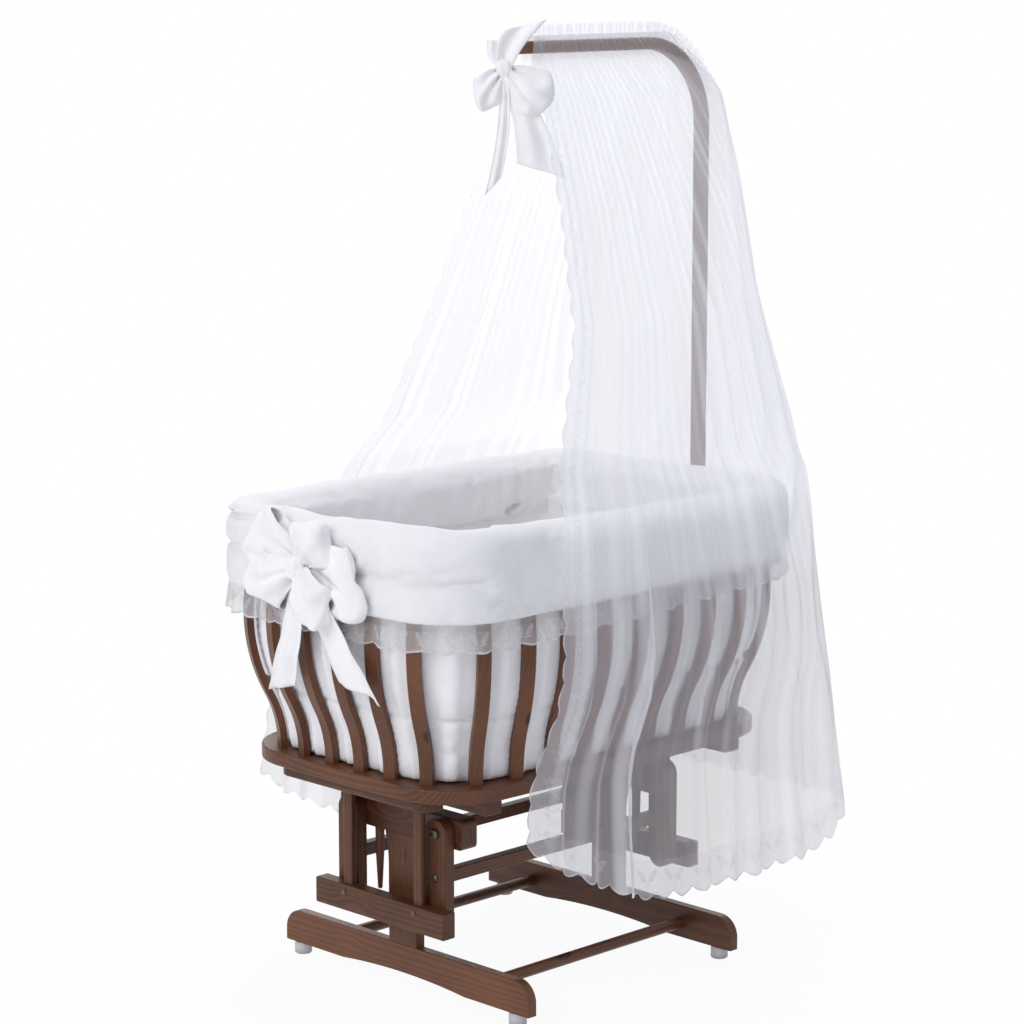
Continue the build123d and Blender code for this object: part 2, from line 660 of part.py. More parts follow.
# Lace ruffle: a thin skirt below the cover's hem, outside the slats
def lace_ruffle():
    outer = bowed_rectangle(COVER_HALF_X + 1, COVER_HALF_Y - 2, COVER_CORNER_R + 10)
    inner = bowed_rectangle(COVER_HALF_X + 1 - RUFFLE_T, COVER_HALF_Y - 2 - RUFFLE_T, COVER_CORNER_R + 10 - RUFFLE_T)
    return plate_z(outer - inner, HEM_Z - RUFFLE_DROP, HEM_Z)


# Bows: loops and knots as soft-edged slabs, and flat tails. They are drawn with x across, y up and z outwards.
def puffed_loop(x, y, half_w, half_h, turn, depth, start=0):
    slab = extrude(Pos(x, y) * Rot(0, 0, turn) * Ellipse(half_w, half_h), depth)
    outer_edge = slab.faces().sort_by(Axis.Z)[-1].edges()
    return Pos(0, 0, start) * fillet(outer_edge, min(depth, half_w) * 0.4)


def knot(half, depth):
    body = extrude(RectangleRounded(2 * half, 2 * half, half * 0.4), depth)
    return fillet(body.faces().sort_by(Axis.Z)[-1].edges(), half * 0.35)


def tail(points, start):
    outline = fillet(make_face(Polyline(*points, close=True)).vertices(), 6)
    return Pos(0, 0, start) * extrude(outline, TAIL_T)


# Front bow: two large loops, two small ones before them, a knot and two tails, on the cover's front end
def front_bow():
    face = Plane(origin=(-COVER_HALF_X - BOW_GAP, 0, BOW_Z), x_dir=(0, -1, 0), z_dir=(-1, 0, 0))
    half_bow = [
        puffed_loop(84, 10, 66, 80, 14, 40),
        puffed_loop(54, -16, 46, 50, 0, BOW_DEPTH - 6),
        tail([(-4, -6), (26, -12), (118, -184), (92, -226), (66, -208)], 4),
    ]
    mirrored = [mirror(piece, Plane.YZ) for piece in half_bow]
    return face * (knot(24, BOW_DEPTH) + half_bow + mirrored)


# Pole bow: a ribbon band round the arm's free end, a knot and loops on its near side, and two tails
def pole_bow():
    half = POLE_SIDE / 2
    outer = half + POLE_BOW_BAND
    band = block(POLE_BOW_X - 17, POLE_BOW_X + 17, -outer, outer, POLE_ARM_Z - outer, POLE_ARM_Z + outer)
    band -= block(POLE_BOW_X - 20, POLE_BOW_X + 20, -half, half, POLE_ARM_Z - half, POLE_ARM_Z + half)
    face = Plane(origin=(POLE_BOW_X, -outer, POLE_ARM_Z), x_dir=(1, 0, 0), z_dir=(0, -1, 0))
    front = [
        puffed_loop(-52, -28, 44, 46, 20, 38),
        puffed_loop(42, 24, 38, 46, -25, 34, start=10),
        tail([(-4, -6), (-24, -16), (-84, -216), (-62, -240), (-36, -206)], 16),
    ]
    slope = math.atan((NET_RIM_HALF_Y - NET_RIDGE_HALF) / (NET_TOP - NET_RIM_Z))
    on_net = Plane(origin=(POLE_BOW_X, -outer - 14, POLE_ARM_Z - 4), x_dir=(1, 0, 0),
                   z_dir=(0, -math.cos(slope), math.sin(slope)))
    net_tail = tail([(-4, -6), (20, -12), (76, -196), (66, -228), (36, -212)], 0)
    return band + face * (knot(14, 46) + front) + on_net * net_tail


# Canopy net: a tent of sheer net over the arm and down both long sides, open at the front and below
def net_sections(inset):
    """Level outlines of the tent from the arm to the hem, moved in by the net's thickness."""
    spread = (NET_RIM_HALF_Y - NET_RIDGE_HALF) / (NET_TOP - NET_RIM_Z)
    levels = [
        (NET_TOP - 1.6 * inset, 386, NET_RIDGE_HALF, 4),
        (1540, 456, 22, 8),
        (1480, 498, 48, 30),
        (1400, 504, NET_RIDGE_HALF + spread * (NET_TOP - 1400), 60),
        (NET_RIM_Z, NET_REAR_X, NET_RIM_HALF_Y, 170),
        (700, NET_REAR_X, 338, 170),
        (160, NET_REAR_X, 350, 170),
    ]
    faces = []
    for z, rear_x, half_y, corner in levels:
        front_x = -300 - inset
        back_x = rear_x - inset
        width = 2 * (half_y - inset)
        centre = (front_x + back_x) / 2
        face = Rectangle(back_x - front_x, width)
        rear_corners = face.vertices().group_by(Axis.X)[-1]
        face = fillet(rear_corners, max(corner - inset, 1))
        faces.append(Plane.XY.offset(z) * Pos(centre, 0) * face)
    return faces


def canopy_net():
    shell = loft(net_sections(0), ruled=True) - loft(net_sections(NET_T), ruled=True)
    front_edge_and_hem = [
        (38, 1600), (38, 1480), (30, 1400), (8, 1300), (-30, 1115), (-80, 917), (-150, 838), (-200, 650),
        (-240, 402), (-226, 300), (-134, 232), (-38, 192), (100, 172), (600, 172), (600, 1600),
    ]
    kept = extrude(Plane.XZ * make_face(Polyline(*front_edge_and_hem, close=True)), 500, both=True)
    return shell & kept


def main():
    places = slat_places()
    front_rail = foot_rail()
    save("foot_rail_front", front_rail)
    save("foot_rail_rear", to_rear(front_rail))
    save("glide_feet", *[
        glide(end * (RAIL_OUTER_X - BOARD_T / 2), side * GLIDE_Y) for end in (-1, 1) for side in (-1, 1)])
    save("lower_dowel_near", stretcher(-DOWEL_Y))
    save("lower_dowel_far", stretcher(DOWEL_Y))
    save("post_front", post())
    save("post_rear", to_rear(post()))
    save("head_board_front", head_board())
    save("head_board_rear", to_rear(head_board()))
    pegs = [stop_peg(side * PEG_Y) for side in (-1, 1)]
    save("swing_stop_pegs", *pegs, *[to_rear(peg) for peg in pegs])
    bolts = [upper_bolt(side * PIVOT_Y) for side in (-1, 1)]
    save("upper_pivot_bolts", *bolts, *[to_rear(bolt) for bolt in bolts])
    nuts = [upper_nut(side * PIVOT_Y) for side in (-1, 1)]
    save("upper_pivot_nuts", *nuts, *[to_rear(nut) for nut in nuts])

    for name, y in (("near", -PIVOT_Y), ("far", PIVOT_Y)):
        arm = swing_arm(y)
        save(f"swing_arm_front_{name}", arm)
        save(f"swing_arm_rear_{name}", to_rear(arm))
        save(f"arm_bar_{name}", arm_bar(y))
        bar_bolt = arm_bar_bolt(y)
        save(f"arm_bar_bolts_{name}", bar_bolt, to_rear(bar_bolt))
        bushes = [pivot_bush(y, UPPER_PIVOT_Z, 1), pivot_bush(y, LOWER_PIVOT_Z, -1)]
        save(f"pivot_bushes_{name}", *bushes, *[to_rear(bush) for bush in bushes])

    lower_bolts = [lower_bolt(side * PIVOT_Y) for side in (-1, 1)]
    save("lower_pivot_bolts", *lower_bolts, *[to_rear(bolt) for bolt in lower_bolts])
    save("cross_bar_front", cross_bar())
    save("cross_bar_rear", to_rear(cross_bar()))
    posts = [carrier_post(side * CARRIER_POST_Y) for side in (-1, 1)]
    save("basket_posts_front", *posts)
    save("basket_posts_rear", *[to_rear(piece) for piece in posts])
    screws = [carrier_screw(side * CARRIER_POST_Y) for side in (-1, 1)]
    save("cross_bar_screws", *screws, *[to_rear(screw) for screw in screws])
    save("floor_batten_front", batten())
    save("floor_batten_rear", to_rear(batten()))
    save("end_cleat_front", end_cleat())
    save("end_cleat_rear", to_rear(end_cleat()))

    slats = {side: [placed(slat_blank(), place) for place in places[side]] for side in places}
    for side, group in slats.items():
        save(f"slats_{side}", *group)
    board = base_board(places)
    save("base_board", board - foot_bolts())
    save("rim_rail", rim_rail())

    save("canopy_pole", canopy_pole())
    save("pole_foot_block", pole_foot_block(board))
    save("pole_upper_block", pole_upper_block(slats["rear_end"]))
    save("pole_strap", pole_strap())
    save("pole_foot_bolts", *[shank + head for shank, head in zip(foot_bolts(), foot_bolt_heads())])
    save("pole_strap_screws", *[shank + head for shank, head in zip(strap_screws(), strap_screw_heads())])

    save("mattress", mattress())
    save("liner", liner())
    save("rim_cover", rim_cover())
    save("lace_ruffle", lace_ruffle())
    save("front_bow", front_bow())
    save("pole_bow", pole_bow())
    save("canopy_net", canopy_net())


main()
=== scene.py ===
import math

import bpy
import numpy as np
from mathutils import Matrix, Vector


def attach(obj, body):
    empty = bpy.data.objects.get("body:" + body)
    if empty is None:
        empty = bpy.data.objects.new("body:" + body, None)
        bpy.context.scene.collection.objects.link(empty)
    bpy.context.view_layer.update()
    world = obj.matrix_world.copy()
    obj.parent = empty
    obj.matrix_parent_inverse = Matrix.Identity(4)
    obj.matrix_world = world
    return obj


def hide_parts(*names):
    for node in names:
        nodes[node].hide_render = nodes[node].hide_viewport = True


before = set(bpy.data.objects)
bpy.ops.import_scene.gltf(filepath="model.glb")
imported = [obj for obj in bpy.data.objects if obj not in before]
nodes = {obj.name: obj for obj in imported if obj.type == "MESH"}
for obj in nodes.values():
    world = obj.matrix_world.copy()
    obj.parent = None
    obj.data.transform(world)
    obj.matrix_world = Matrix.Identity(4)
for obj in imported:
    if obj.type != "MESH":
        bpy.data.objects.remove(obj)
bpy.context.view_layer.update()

# Camera: it looks down a little at the bow end and the near side, from about five and a half metres, with a
# long lens. The lens is worked out for a square picture of 1024 by 1024.
camera_data = bpy.data.cameras.new("camera")
camera_data.sensor_width = 36
camera_data.lens = 112.73
camera_data.clip_end = 60
camera = bpy.data.objects.new("camera", camera_data)
bpy.context.collection.objects.link(camera)
camera.location = (-3.7903, -3.8193, 1.7607)
camera.rotation_euler = Vector((0.6934, 0.6982, -0.1782)).to_track_quat("-Z", "Y").to_euler()
bpy.context.scene.camera = camera


# Studio: a pale floor under a white room, which keeps a soft shadow of the crib. One large lamp stands to the
# left of the bow end, one behind the far side shines through the net, a weaker one hangs above, and the room
# itself fills the shade with a slightly cool light.
class Shade:
    """A socket of a finish. Arithmetic on it adds Math nodes to that finish."""

    def __init__(self, finish, socket):
        self.finish = finish
        self.socket = socket

    def math(self, operation, *others):
        inputs = {place: value for place, value in enumerate((self, *others))}
        return self.finish.add("ShaderNodeMath", {"operation": operation}, inputs)

    def __add__(self, other):
        return self.math("ADD", other)

    def __sub__(self, other):
        return self.math("SUBTRACT", other)

    def __rsub__(self, other):
        return self.finish.add("ShaderNodeMath", {"operation": "SUBTRACT"}, {0: other, 1: self})

    def __mul__(self, other):
        return self.math("MULTIPLY", other)

    def __truediv__(self, other):
        return self.math("DIVIDE", other)

    def __pow__(self, other):
        return self.math("POWER", other)

    def __abs__(self):
        return self.math("ABSOLUTE")

    __radd__ = __add__
    __rmul__ = __mul__

    def wave(self):
        return self.math("SINE")

    def floor(self):
        return self.math("FLOOR")

    def least(self, other):
        return self.math("MINIMUM", other)

    def most(self, other):
        return self.math("MAXIMUM", other)

    def rise(self, low, high):
        """0 below low, 1 above high, and a smooth step between them."""
        inputs = {0: self, 1: low, 2: high, 3: 0.0, 4: 1.0}
        return self.finish.add("ShaderNodeMapRange", {"interpolation_type": "SMOOTHSTEP"}, inputs)


class Finish:
    """A material in the making: one Principled surface and the nodes that feed it."""

    def __init__(self, name, **surface):
        self.material = bpy.data.materials.new(name)
        self.material.use_nodes = True
        self.tree = self.material.node_tree
        self.surface = self.tree.nodes["Principled BSDF"]
        self.output = self.tree.nodes["Material Output"]
        for socket, value in surface.items():
            self.surface.inputs[socket.replace("_", " ").title()].default_value = value

    def add(self, kind, settings, inputs, output=0):
        """Adds a node with its settings first and then its inputs, and returns one of its outputs."""
        node = self.tree.nodes.new(kind)
        for name, value in settings.items():
            if name == "stops":
                ramp = node.color_ramp
                while len(ramp.elements) < len(value):
                    ramp.elements.new(0.5)
                for element, (position, colour) in zip(ramp.elements, value):
                    element.position = position
                    element.color = (*colour, 1.0)
            else:
                setattr(node, name, value)
        for socket, value in inputs.items():
            self.join(node.inputs[socket], value)
        return Shade(self, node.outputs[output])

    def join(self, socket, value):
        if isinstance(value, Shade):
            self.tree.links.new(value.socket, socket)
        elif isinstance(value, tuple) and len(value) == 3 and len(socket.default_value) == 4:
            socket.default_value = (*value, 1.0)
        else:
            socket.default_value = value

    def feed(self, **sockets):
        for name, value in sockets.items():
            self.join(self.surface.inputs[name.replace("_", " ").title()], value)

    def blend(self, first, second, share):
        """A mix of two colours, by a share that may vary."""
        return self.add("ShaderNodeMix", {"data_type": "RGBA"}, {0: share, 6: first, 7: second}, 2)

    def noise(self, place, scale, detail=2.0, roughness=0.5, distortion=0.0):
        inputs = {"Vector": place, "Scale": scale, "Detail": detail, "Roughness": roughness,
                  "Distortion": distortion}
        return self.add("ShaderNodeTexNoise", {}, inputs)

    def relief(self, height, depth, strength=1.0):
        """Feeds a height into the surface's normal, as deep as depth in metres."""
        inputs = {"Height": height, "Distance": depth, "Strength": strength}
        self.feed(Normal=self.add("ShaderNodeBump", {}, inputs))

    def place(self):
        return self.add("ShaderNodeTexCoord", {}, {}, "Object")

    def mapped(self, place, **changes):
        """A place with its Location, Rotation or Scale changed."""
        return self.add("ShaderNodeMapping", {}, {0: place, **changes})

    def parts(self, vector):
        """The three components of a vector."""
        split = self.add("ShaderNodeSeparateXYZ", {}, {0: vector}).socket.node
        return [Shade(self, output) for output in split.outputs]

    def sheet_place(self):
        """How far along and how far across the cloth a point lies, in metres, from its UV map."""
        return self.parts(self.add("ShaderNodeTexCoord", {}, {}, "UV"))[:2]


def seen_directly(finish):
    """1 for rays that show the room itself: from the camera, in gloss and through clear material."""
    rays = finish.add("ShaderNodeLightPath", {}, {}).socket.node.outputs
    camera_ray, glossy, through = (
        Shade(finish, rays[name]) for name in ("Is Camera Ray", "Is Glossy Ray", "Is Transmission Ray"))
    return camera_ray.most(glossy).most(through)


def paint_floor():
    """White paper that turns into the white room a metre and a half from the crib."""
    floor = Finish("floor", base_color=(0.95, 0.95, 0.95, 1.0), roughness=0.9)
    glow = floor.add("ShaderNodeEmission", {}, {"Color": (1.0, 1.0, 1.0)})
    x, y, _ = floor.parts(floor.place())
    share = seen_directly(floor) * (((x * x + y * y) ** 0.5).rise(0.5, 1.5) * 0.06 + 0.94)
    paper = Shade(floor, floor.surface.outputs[0])
    mixed = floor.add("ShaderNodeMixShader", {}, {0: share, 1: paper, 2: glow})
    floor.join(floor.output.inputs[0], mixed)
    return floor.material


def light_room():
    world = bpy.data.worlds.new("room")
    bpy.context.scene.world = world
    world.use_nodes = True
    room = Finish.__new__(Finish)
    room.tree = world.node_tree
    backdrop = room.tree.nodes["Background"]
    fill = (0.47, 0.48, 0.54)
    room.join(backdrop.inputs["Color"], room.blend(fill, (1.0, 1.0, 1.0), seen_directly(room)))


def hang_lamp(name, place, aim, size, power):
    lamp = bpy.data.lights.new(name, "AREA")
    lamp.size = size
    lamp.energy = power
    holder = bpy.data.objects.new(name, lamp)
    bpy.context.collection.objects.link(holder)
    holder.location = place
    holder.rotation_euler = (Vector(aim) - Vector(place)).to_track_quat("-Z", "Y").to_euler()


FLOOR_HALF = 30.0
floor_corners = [(x * FLOOR_HALF, y * FLOOR_HALF, 0.0) for x, y in ((-1, -1), (1, -1), (1, 1), (-1, 1))]
floor_mesh = bpy.data.meshes.new("floor")
floor_mesh.from_pydata(floor_corners, [], [(0, 1, 2, 3)])
floor_mesh.materials.append(paint_floor())
floor_piece = bpy.data.objects.new("floor", floor_mesh)
bpy.context.collection.objects.link(floor_piece)
light_room()
hang_lamp("window_lamp", (-3.4, -0.5, 2.5), (0.0, 0.0, 0.6), 2.2, 50)
hang_lamp("ceiling_lamp", (0.3, 0.2, 4.2), (0.0, 0.0, 0.6), 2.5, 30)
hang_lamp("back_lamp", (2.6, 2.2, 2.6), (0.0, 0.0, 0.9), 2.4, 52)
bpy.context.scene.view_settings.view_transform = "Standard"


# Fixed base, swing arms, basket frame and canopy pole: knotty softwood, planed and rounded, stained to a dark
# walnut brown under a thin satin varnish. The fibres run along each bar, and the stain is darker in the knots.
STAIN_LIGHT = (0.205, 0.082, 0.037)
STAIN_MID = (0.112, 0.041, 0.018)
STAIN_DARK = (0.044, 0.015, 0.007)
KNOT_BROWN = (0.026, 0.010, 0.006)
VARNISH = {"roughness": 0.46, "coat_weight": 0.03, "coat_roughness": 0.3}
GRAIN_DEPTH = 0.0006


def grain(wood, lie, seed, ring_share=0.2, tone_and_painted_light=0.0):
    """Colour and height of stained softwood whose fibres run along the lie vector's z.

    The year rings are waves of the distance from a pith line that wanders; fine fibres are a noise that is
    drawn out along z; knots are the cells of a drawn-out cell pattern that bend the rings round them."""
    drawn = wood.mapped(lie, Location=(seed, seed * 0.7, 0.0), Scale=(1.0, 1.0, 0.1))
    cells = wood.mapped(lie, Location=(seed, 0.03, 0.02), Scale=(22.0, 22.0, 7.5))
    inputs = {"Vector": cells, "Scale": 1.0, "Randomness": 1.0}
    cell = wood.add("ShaderNodeTexVoronoi", {}, inputs).socket.node
    distance = Shade(wood, cell.outputs["Distance"])
    chance = wood.parts(Shade(wood, cell.outputs["Color"]))[0]
    chosen = chance.rise(0.52, 0.6)
    ring_bend = (1.0 - distance.rise(0.0, 0.55)) * chosen
    knot = (1.0 - distance.rise(0.1, 0.2)) * chosen
    x, y, _ = wood.parts(drawn)
    wander = wood.noise(drawn, 9.0, 2.0)
    across = ((x + 0.05) * (x + 0.05) + (y + 0.035) * (y + 0.035)) ** 0.5
    rings = ((across + wander * 0.022 + ring_bend * 0.012) * 1150.0).wave() * 0.5 + 0.5
    fibres = wood.noise(drawn, 420.0, 3.0, 0.65)
    patches = wood.noise(lie, 7.0, 2.0)
    tone = rings ** 1.6 * ring_share + fibres * 0.4 + patches * 0.55 + (0.06 + tone_and_painted_light - ring_share * 0.5)
    stops = [(0.2, STAIN_DARK), (0.5, STAIN_MID), (0.86, STAIN_LIGHT)]
    stained = wood.add("ShaderNodeValToRGB", {"stops": stops}, {0: tone})
    colour = wood.blend(stained, KNOT_BROWN, knot * 0.9)
    return colour, fibres * 0.6 + rings * ring_share - knot * 0.3


def stained_wood(name, turn=(0.0, 0.0, 0.0), seed=0.0, tone_and_painted_light=0.0, ring_share=0.2):
    """Stained softwood whose fibres run along z once the place is turned. The tone shift after the seed makes
    the stain paler where positive and darker where negative, part by part: the front foot rail is painted
    lighter as painted light and the rear foot rail darker as painted shade. ring_share is how much the year
    rings show."""
    wood = Finish(name, **VARNISH)
    wood.surface.inputs["Specular IOR Level"].default_value = 0.32
    lie = wood.mapped(wood.place(), Rotation=turn)
    colour, height = grain(wood, lie, seed, ring_share, tone_and_painted_light)
    wood.feed(Base_Color=colour, Roughness=height * 0.16 + 0.36)
    wood.relief(height, GRAIN_DEPTH, 0.45)
    return wood.material


def dress(material, *names):
    """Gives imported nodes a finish."""
    for name in names:
        for slot in nodes[name].material_slots:
            slot.material = material


UPRIGHT = (0.0, 0.0, 0.0)
SIDEWAYS = (math.pi / 2, 0.0, 0.0)
LENGTHWISE = (0.0, math.pi / 2, 0.0)
# The number after each seed shifts that part's stain: the front foot rail is painted lighter, as painted light
# where the window lamp falls on it, the rear foot rail darker, as painted shade, and the other parts a little
# darker, part by part.
dress(stained_wood("foot_rail_wood", SIDEWAYS, 0.11, 0.16), "foot_rail_front")
dress(stained_wood("rear_foot_rail_wood", SIDEWAYS, 0.17, -0.08), "foot_rail_rear")
dress(stained_wood("stretcher_wood", LENGTHWISE, 0.4, -0.04), "lower_dowel_near", "lower_dowel_far")
dress(stained_wood("post_wood", UPRIGHT, 0.23, -0.03), "post_front", "post_rear", "swing_stop_pegs")
dress(stained_wood("head_board_wood", SIDEWAYS, 0.35, -0.08), "head_board_front", "head_board_rear")
dress(stained_wood("swing_arm_wood", UPRIGHT, 0.52, -0.06),
      "swing_arm_front_near", "swing_arm_rear_near", "swing_arm_front_far", "swing_arm_rear_far")
dress(stained_wood("arm_bar_wood", LENGTHWISE, 0.61, -0.05), "arm_bar_near", "arm_bar_far")
dress(stained_wood("cross_bar_wood", SIDEWAYS, 0.77, -0.10),
      "cross_bar_front", "cross_bar_rear", "floor_batten_front", "floor_batten_rear", "end_cleat_front",
      "end_cleat_rear")
dress(stained_wood("basket_post_wood", UPRIGHT, 0.83, -0.06), "basket_posts_front", "basket_posts_rear")
dress(stained_wood("board_wood", SIDEWAYS, 0.92, -0.02),
      "base_board", "rim_rail", "pole_foot_block", "pole_upper_block")
dress(stained_wood("slat_wood", UPRIGHT, 1.07, 0.02, 0.05),
      "slats_front_end", "slats_rear_end", "slats_near_side", "slats_far_side")


# Canopy pole: one square bar, steam-bent to a quarter circle. Its fibres follow it, upright in the stem and
# level in the arm.
def pole_wood():
    wood = Finish("pole_wood", **VARNISH)
    place = wood.place()
    level = wood.mapped(place, Rotation=LENGTHWISE)
    in_arm = wood.parts(place)[2].rise(1.5, 1.53)
    stem_colour, stem_height = grain(wood, place, 1.31)
    arm_colour, arm_height = grain(wood, level, 1.4)
    height = stem_height + (arm_height - stem_height) * in_arm
    wood.feed(Base_Color=wood.blend(stem_colour, arm_colour, in_arm))
    wood.relief(height, GRAIN_DEPTH, 0.45)
    return wood.material


dress(pole_wood(), "canopy_pole")


# Fasteners and strap: turned and stamped steel, browned so that it sinks into the stained wood, with a dull,
# slightly mottled shine.
def browned_steel():
    steel = Finish("browned_steel", metallic=1.0, roughness=0.4)
    place = steel.place()
    mottle = steel.noise(place, 260.0, 3.0, 0.6)
    colour = steel.blend((0.10, 0.075, 0.06), (0.19, 0.15, 0.125), mottle)
    steel.feed(Base_Color=colour, Roughness=mottle * 0.2 + 0.26)
    steel.relief(steel.noise(place, 900.0, 2.0), 0.0002, 0.3)
    return steel.material


dress(browned_steel(), "upper_pivot_bolts", "upper_pivot_nuts", "lower_pivot_bolts", "arm_bar_bolts_near",
      "arm_bar_bolts_far", "cross_bar_screws", "pole_foot_bolts", "pole_strap", "pole_strap_screws")


# Glides and pivot bushes: moulded plastic, pale grey under the rails and natural white in the arms. The
# glides carry a little dust and fine scuffs near the floor.
def moulded_plastic(name, clean, dusty, dust_top):
    plastic = Finish(name, roughness=0.5)
    place = plastic.place()
    height = plastic.parts(place)[2]
    scuffs = plastic.noise(place, 120.0, 4.0, 0.7)
    dust = (1.0 - height.rise(0.0, dust_top)) * scuffs
    plastic.feed(Base_Color=plastic.blend(clean, dusty, dust), Roughness=scuffs * 0.25 + 0.35)
    plastic.relief(scuffs, 0.0002, 0.4)
    return plastic.material


dress(moulded_plastic("glide_plastic", (0.62, 0.62, 0.63), (0.3, 0.28, 0.26), 0.012), "glide_feet")
dress(moulded_plastic("bush_plastic", (0.78, 0.77, 0.72), (0.6, 0.58, 0.52), 0.3),
      "pivot_bushes_near", "pivot_bushes_far")


# Mattress: a foam pad in a plain white cotton case, crowned in the middle, with a rounded edge. It lies on
# the liner's floor.
def even_ring(half_x, half_y, corner, count, swell=0.01):
    """Places and outward directions, evenly spaced round a basket outline: a rectangle with round corners
    whose sides swell in the middle. It starts at the middle of the bow end and passes the near side first."""
    reach_x, reach_y = half_x - swell, half_y - swell
    quarter = np.linspace(0.0, math.pi / 2, 90)
    turns = np.concatenate([math.pi + quarter, 1.5 * math.pi + quarter, quarter, math.pi / 2 + quarter])
    side_x = np.repeat([-1.0, 1.0, 1.0, -1.0], 90)
    side_y = np.repeat([-1.0, -1.0, 1.0, 1.0], 90)
    line = np.stack([side_x * (reach_x - corner) + corner * np.cos(turns),
                     side_y * (reach_y - corner) + corner * np.sin(turns)], axis=1)
    outward = np.stack([np.cos(turns), np.sin(turns)], axis=1)
    line = np.vstack([[-reach_x, 0.0], line, [-reach_x, 0.0]])
    outward = np.vstack([[-1.0, 0.0], outward, [-1.0, 0.0]])
    line, outward = spaced(line, 2000, outward)
    swelling = 1.0 - (line[:, ::-1] / (reach_y, reach_x)) ** 2
    line = line + outward * swell * np.clip(swelling, 0.0, 1.0)
    line, outward = spaced(line, count + 1, outward)
    outward /= np.linalg.norm(outward, axis=1, keepdims=True)
    return line[:-1], outward[:-1]


def spaced(line, count, *companions):
    """A line's points moved to equal steps along it, with the values that go with them."""
    steps = np.linalg.norm(np.diff(line, axis=0), axis=1)
    run = np.concatenate([[0.0], np.cumsum(steps)])
    targets = np.linspace(0.0, run[-1], count)
    moved = [np.stack([np.interp(targets, run, part[:, k]) for k in range(part.shape[1])], axis=1)
             for part in (line, *companions)]
    return moved if companions else moved[0]


def rounded(line, passes, closed=False):
    """A line with its corners cut: each pass puts two points a quarter of the way in on every stretch."""
    for _ in range(passes):
        after = np.roll(line, -1, axis=0)
        first, second = line * 0.75 + after * 0.25, line * 0.25 + after * 0.75
        cut = np.stack([first, second], axis=1).reshape(-1, line.shape[1])
        line = cut if closed else np.vstack([line[:1], cut[:-2], line[-1:]])
    return line


def ripples(points, seed, shortest, longest, waves=26):
    """A smooth random relief of about -1 to 1: a sum of plane waves with random directions and lengths."""
    draw = np.random.default_rng(seed)
    relief = np.zeros(points.shape[:-1])
    for _ in range(waves):
        way = draw.normal(size=3)
        way /= np.linalg.norm(way)
        length = shortest * (longest / shortest) ** draw.random()
        relief += np.sin(points @ way * (2 * math.pi / length) + draw.random() * 2 * math.pi)
    return relief / math.sqrt(waves)


def smooth_step(value, low, high):
    """0 below low, 1 above high, and a smooth rise between them."""
    share = np.clip((value - low) / (high - low), 0.0, 1.0)
    return share * share * (3.0 - 2.0 * share)


def cloth_mesh(name, grids, material, around=False, looped=False, ends=False, outward=False):
    """One smooth mesh over one or more grids of points. Each grid is rows of points.

    around joins each row's end to its start, looped joins the last row to the first, ends closes the first
    and the last row, and outward turns a closed mesh's faces outwards. The UV map holds metres along and
    across."""
    vertices, faces, places = [], [], []
    start = 0
    for grid in grids:
        rows, columns = grid.shape[:2]
        index = np.arange(start, start + rows * columns).reshape(rows, columns)
        start += rows * columns
        vertices.append(grid.reshape(-1, 3))
        spread = np.concatenate([grid, grid[:, :1]], axis=1) if around else grid
        spread = np.concatenate([spread, spread[:1]], axis=0) if looped else spread
        along = np.linalg.norm(np.diff(spread, axis=1), axis=2).mean(axis=0)
        across = np.linalg.norm(np.diff(spread, axis=0), axis=2).mean(axis=1)
        along = np.concatenate([[0.0], np.cumsum(along)])
        across = np.concatenate([[0.0], np.cumsum(across)])
        index = np.concatenate([index, index[:, :1]], axis=1) if around else index
        index = np.concatenate([index, index[:1]], axis=0) if looped else index
        faces += corners_of(index).reshape(-1, 4).tolist()
        metres = np.stack(np.meshgrid(along, across), axis=-1)
        places.append(corners_of(metres).reshape(-1, 2))
        if ends:
            faces += [index[0, :columns][::-1].tolist(), index[-1, :columns].tolist()]
            places.append(np.zeros((2 * columns, 2)))
    vertices = np.concatenate(vertices)
    if outward and enclosed_volume(vertices, faces) < 0:
        faces = [face[::-1] for face in faces]
        places = [reversed_faces(part, 4) if len(part) % 4 == 0 else part for part in places]
    mesh = bpy.data.meshes.new(name)
    mesh.from_pydata(vertices.tolist(), [], faces)
    mesh.uv_layers.new(name="cloth").data.foreach_set("uv", np.concatenate(places).ravel())
    mesh.polygons.foreach_set("use_smooth", np.ones(len(mesh.polygons), bool))
    mesh.materials.append(material)
    mesh.update()
    piece = bpy.data.objects.new(name, mesh)
    bpy.context.collection.objects.link(piece)
    return piece


def corners_of(grid):
    """The four corner values of every cell of a grid."""
    return np.stack([grid[:-1, :-1], grid[:-1, 1:], grid[1:, 1:], grid[1:, :-1]], axis=2)


def reversed_faces(values, corners):
    return values.reshape(-1, corners, values.shape[-1])[:, ::-1].reshape(-1, values.shape[-1])


def enclosed_volume(vertices, faces):
    """Six times the volume inside the faces, positive where they point outwards."""
    quads = np.array([face for face in faces if len(face) == 4])
    a, b, c, d = (vertices[quads[:, k]] for k in range(4))
    return (np.einsum("ij,ij->i", a, np.cross(b, c)) + np.einsum("ij,ij->i", a, np.cross(c, d))).sum()


def read_points(piece):
    points = np.empty(len(piece.data.vertices) * 3)
    piece.data.vertices.foreach_get("co", points)
    return points.reshape(-1, 3)


def write_points(piece, points):
    piece.data.vertices.foreach_set("co", points.ravel())
    piece.data.update()


PUFF_MOMENTS = 20
CASE_CLOTH = {"quality": 3, "mass": 0.15, "tension_stiffness": 12, "compression_stiffness": 12,
              "shear_stiffness": 6, "bending_stiffness": 0.15, "use_pressure": True}


